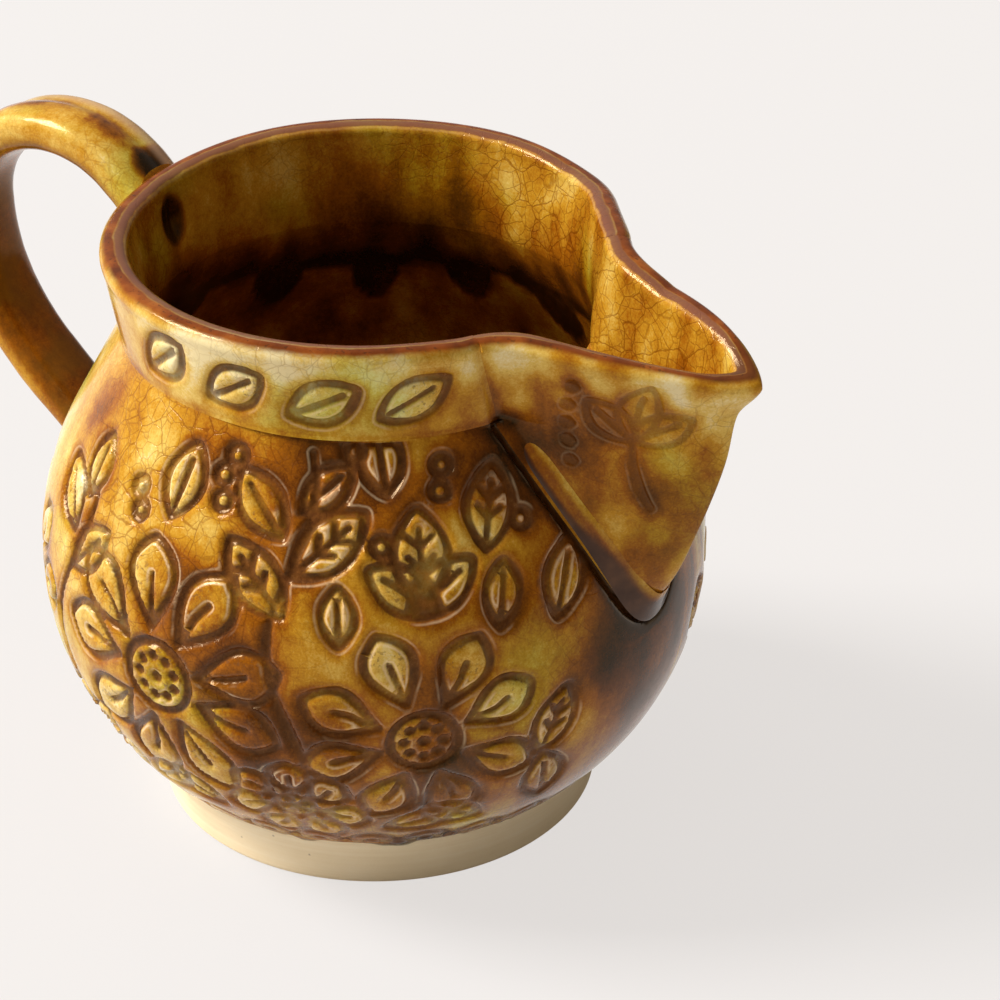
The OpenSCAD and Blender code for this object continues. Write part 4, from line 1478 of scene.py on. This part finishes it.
def handle_material(name):
    """The handle's glaze: a brown streak on top, a painted mauve reflection along the far edge, a dark pit by
    the rim, and the face toward the jug olive and darker, partly with painted shade.
    """
    made, tree, shader = new_material(name)
    across, outer, along = [value_of(tree, key) for key in ("across", "outer", "along")]
    spot = object_spot(tree)
    x, y, _ = axes(spot)
    top = span(outer, 0.3, 0.7)
    patch = span(noise(spot, 120.0, 4.0), 0.36, 0.62, 0.2, 1.0)
    streak = span(abs(y + 0.0004), 0.0005, 0.0032, 1.0, 0.0) * top
    edge = span(abs(across), 0.72, 0.86) * top
    pool = streak * patch * 0.48 + 0.29 - edge * 0.10
    pit_x = (x + 0.0412) / 0.0028
    pit_y = (y - 0.0012) / 0.0042
    pool = pool + span(pit_x * pit_x + pit_y * pit_y, 0.3, 1.5, 0.62, 0.0) * top
    # The strap's back and its face toward the jug are set deeper: partly darker glaze, partly painted shade.
    pool = pool + span(along, 0.35, 0.6, 0.0, 0.13) + span(outer, 0.1, -0.7, 0.0, 0.24)
    coat = place(tree, "ShaderNodeGroup",
                 {"Pool": pool, "Groove": NO_GROOVE, "Raised": 0.0, "Craze": 0.25, "Wear_and_highlight": 0.0},
                 node_tree=glaze)
    # Painted reflection: the far edge of the top face is blended towards mauve.
    far = span(y, 0.0018, 0.0036) * (top * 0.6)
    colour = blend(far, Flow(coat, "Colour"), (0.50, 0.33, 0.22, 1.0))
    # The face toward the jug is blended to a dark olive: olive glaze and, in part, painted shade.
    olive = span(outer, 0.1, -0.7, 0.0, 0.6) * patch
    wire_glaze(shader, blend(olive, colour, (0.17, 0.083, 0.010, 1.0)), coat, 0.45)
    return made


def trim_to_wall(piece, depth):
    """Slides a piece's points that lie deeper in the jug's wall than a depth back out along the handle."""
    points = np.empty(len(piece.data.vertices) * 3)
    piece.data.vertices.foreach_get("co", points)
    points = points.reshape(-1, 3) / MM
    for place_r, height, slope in (HANDLE_TOP, HANDLE_LOW):
        out, up = slope_way(slope)
        close = np.hypot(points[:, 0] + place_r, points[:, 2] - height) < 12.0
        for _ in range(40):
            deep = body_r(points[:, 2]) - depth - from_axis(points)
            move = np.where(close, np.maximum(0.0, deep), 0.0)
            points += np.array([-out, 0.0, up]) * move[:, None]
    piece.data.vertices.foreach_set("co", (points * MM).reshape(-1))


handle = shape_by(line_object("handle_line", handle_path()), strap_tree(),
                  {"Steps Along": 220, "Steps Around": 73, "Width": HANDLE_WIDE * MM,
                   "Top Thickness": HANDLE_TOP_T * MM, "Low Thickness": HANDLE_LOW_T * MM,
                   "Trough": 0.0006, "Glaze": handle_material("handle glaze")}, "handle_strap")
trim_to_wall(handle, 1.0)
face_out(handle, 70.0)
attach(handle, "root")
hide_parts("handle")


# Handle joints: a little clay smoothed round each end of the handle where it is pressed on to the wall,
# a hollow curve between the two that the dark glaze fills.

JOINT = 2.3


def joint_mesh(end, thick, ceiling):
    """A ring of clay round an end of the handle, given by its place out and up on the wall and its slope."""
    around = 64
    steps_across = 9
    turn = np.linspace(0.0, FULL_TURN, around + 1)
    wide = HANDLE_WIDE / 2 * np.sign(np.cos(turn)) * np.abs(np.cos(turn)) ** 0.75
    high = thick / 2 * np.sign(np.sin(turn)) * np.abs(np.sin(turn)) ** 0.75
    out, up = slope_way(end[2])
    d = np.array([-out, 0.0, up])
    n = np.array([up, 0.0, out])
    middle = np.array([-end[0], 0.0, end[1]])
    size = np.hypot(wide, high)

    def section(extra):
        """The strap's outline, grown by a width."""
        grow = 1.0 + extra / size
        return middle + n * (high * grow)[:, None] + np.array([0.0, 1.0, 0.0]) * (wide * grow)[:, None]

    def land(points):
        """Slides points along the handle's direction until they lie on the jug's skin."""
        low = np.full(len(points), -12.0)
        far = np.full(len(points), 14.0)
        for _ in range(40):
            mid = (low + far) / 2
            at = points + d * mid[:, None]
            clear = from_axis(at) > body_r(np.clip(at[:, 2], FOOT_H, LIP[1]))
            far = np.where(clear, mid, far)
            low = np.where(clear, low, mid)
        at = points + d * far[:, None]
        at[:, 2] = np.minimum(at[:, 2], ceiling)
        return to_skin(at)

    corner = land(section(0.02))
    foot_line = land(section(JOINT))
    on_strap = corner + d * JOINT + (section(0.03) - section(0.0))
    rows = [bend(k / steps_across, on_strap, corner, foot_line) for k in range(steps_across + 1)]
    rows.append(foot_line - skin_normal(foot_line) * 0.7)
    rows.append(corner - skin_normal(corner) * 0.9 - (section(0.8) - section(0.0)))
    rows.append(on_strap - (section(0.9) - section(0.0)))
    points, _, faces = tube(rows)
    across = np.repeat(np.arange(len(rows)), around + 1)
    pool = 0.86 - 0.3 * np.abs(across - 4.5) / 4.5 + 0.08 * drift(points, 6.0, 41)
    return points, faces, {"pool": np.clip(pool, 0.0, 1.0), "groove": np.full(len(points), NO_GROOVE)}


joint_glaze = glaze_material("handle joint glaze", 0.25)[0]
top_joint = mesh_object("handle_top_joint", *joint_mesh(HANDLE_TOP, HANDLE_TOP_T, 88.8))
low_joint = mesh_object("handle_foot_joint", *joint_mesh(HANDLE_LOW, HANDLE_LOW_T, 76.0))
for joint, node in ((top_joint, "handle_top_coil"), (low_joint, "handle_foot_coil")):
    face_out(joint, 60.0)
    joint.data.materials.append(joint_glaze)
    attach(joint, "root")
    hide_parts(node)


# Studio: a pale floor that fills the picture, one large soft light high on the handle's side, a dim
# surround that is brighter on that side, and the camera at the photo's angle.

floor_mesh = bpy.data.meshes.new("floor")
floor_mesh.from_pydata([(-6, -6, 0), (6, -6, 0), (6, 6, 0), (-6, 6, 0)], [], [(0, 1, 2, 3)])
floor = show("floor", floor_mesh)


def floor_material():
    """A pale matte floor. To the camera it is part plain colour, so that the shadow on it stays faint."""
    made, tree, shader = new_material("pale floor")
    feed(shader, {"Base Color": (0.67, 0.645, 0.627, 1.0), "Roughness": 0.9, "Specular IOR Level": 0.0})
    plain = flow(tree, "ShaderNodeEmission", {"Color": (0.905, 0.871, 0.847, 1.0), "Strength": 1.0})
    path = place(tree, "ShaderNodeLightPath")
    seen = calc("MAXIMUM", Flow(path, "Is Camera Ray"), Flow(path, "Is Transmission Ray"))
    seen = calc("MAXIMUM", seen, Flow(path, "Is Glossy Ray"))
    both = flow(tree, "ShaderNodeMixShader", {0: seen * 0.78, 1: Flow(shader), 2: plain})
    end = [node for node in tree.nodes if node.type == "OUTPUT_MATERIAL"][0]
    feed(end, {0: both})
    return made


floor_mesh.materials.append(floor_material())

world = bpy.data.worlds.new("studio")
bpy.context.scene.world = world
world.use_nodes = True
room = world.node_tree
look = flow(room, "ShaderNodeTexCoord", None, "Generated")
lit = flow(room, "ShaderNodeVectorMath", {0: look, 1: (-0.62, -0.26, 0.74)}, "Value", operation="DOT_PRODUCT")
glow = ramp(span(lit, -0.9, 1.0, 0.0, 1.0, False),
            [(0.0, (0.15, 0.136, 0.118)), (0.55, (0.26, 0.243, 0.222)), (1.0, (0.62, 0.61, 0.60))])
feed(room.nodes["Background"], {"Color": glow, "Strength": 1.0})


def aim(thing, where, way):
    """Puts a light or camera at a place and turns it along a direction."""
    thing.location = where
    thing.rotation_euler = Vector(way).to_track_quat("-Z", "Y").to_euler()


LAMP_AT = Vector((-2.38, -1.37, 2.5))
lamp = bpy.data.lights.new("key", "AREA")
lamp.shape = "RECTANGLE"
lamp.size = 1.3
lamp.size_y = 1.3
lamp.energy = 208.0
aim(show("key", lamp), LAMP_AT, Vector((0.0, 0.0, 0.04)) - LAMP_AT)

camera_data = bpy.data.cameras.new("camera")
camera_data.lens = 115.2
camera_data.sensor_width = 36.0
camera = show("camera", camera_data)
aim(camera, (0.2557, -0.3273, 0.2884), (-0.5005, 0.7040, -0.5038))
bpy.context.scene.camera = camera
bpy.context.scene.view_settings.view_transform = "Standard"
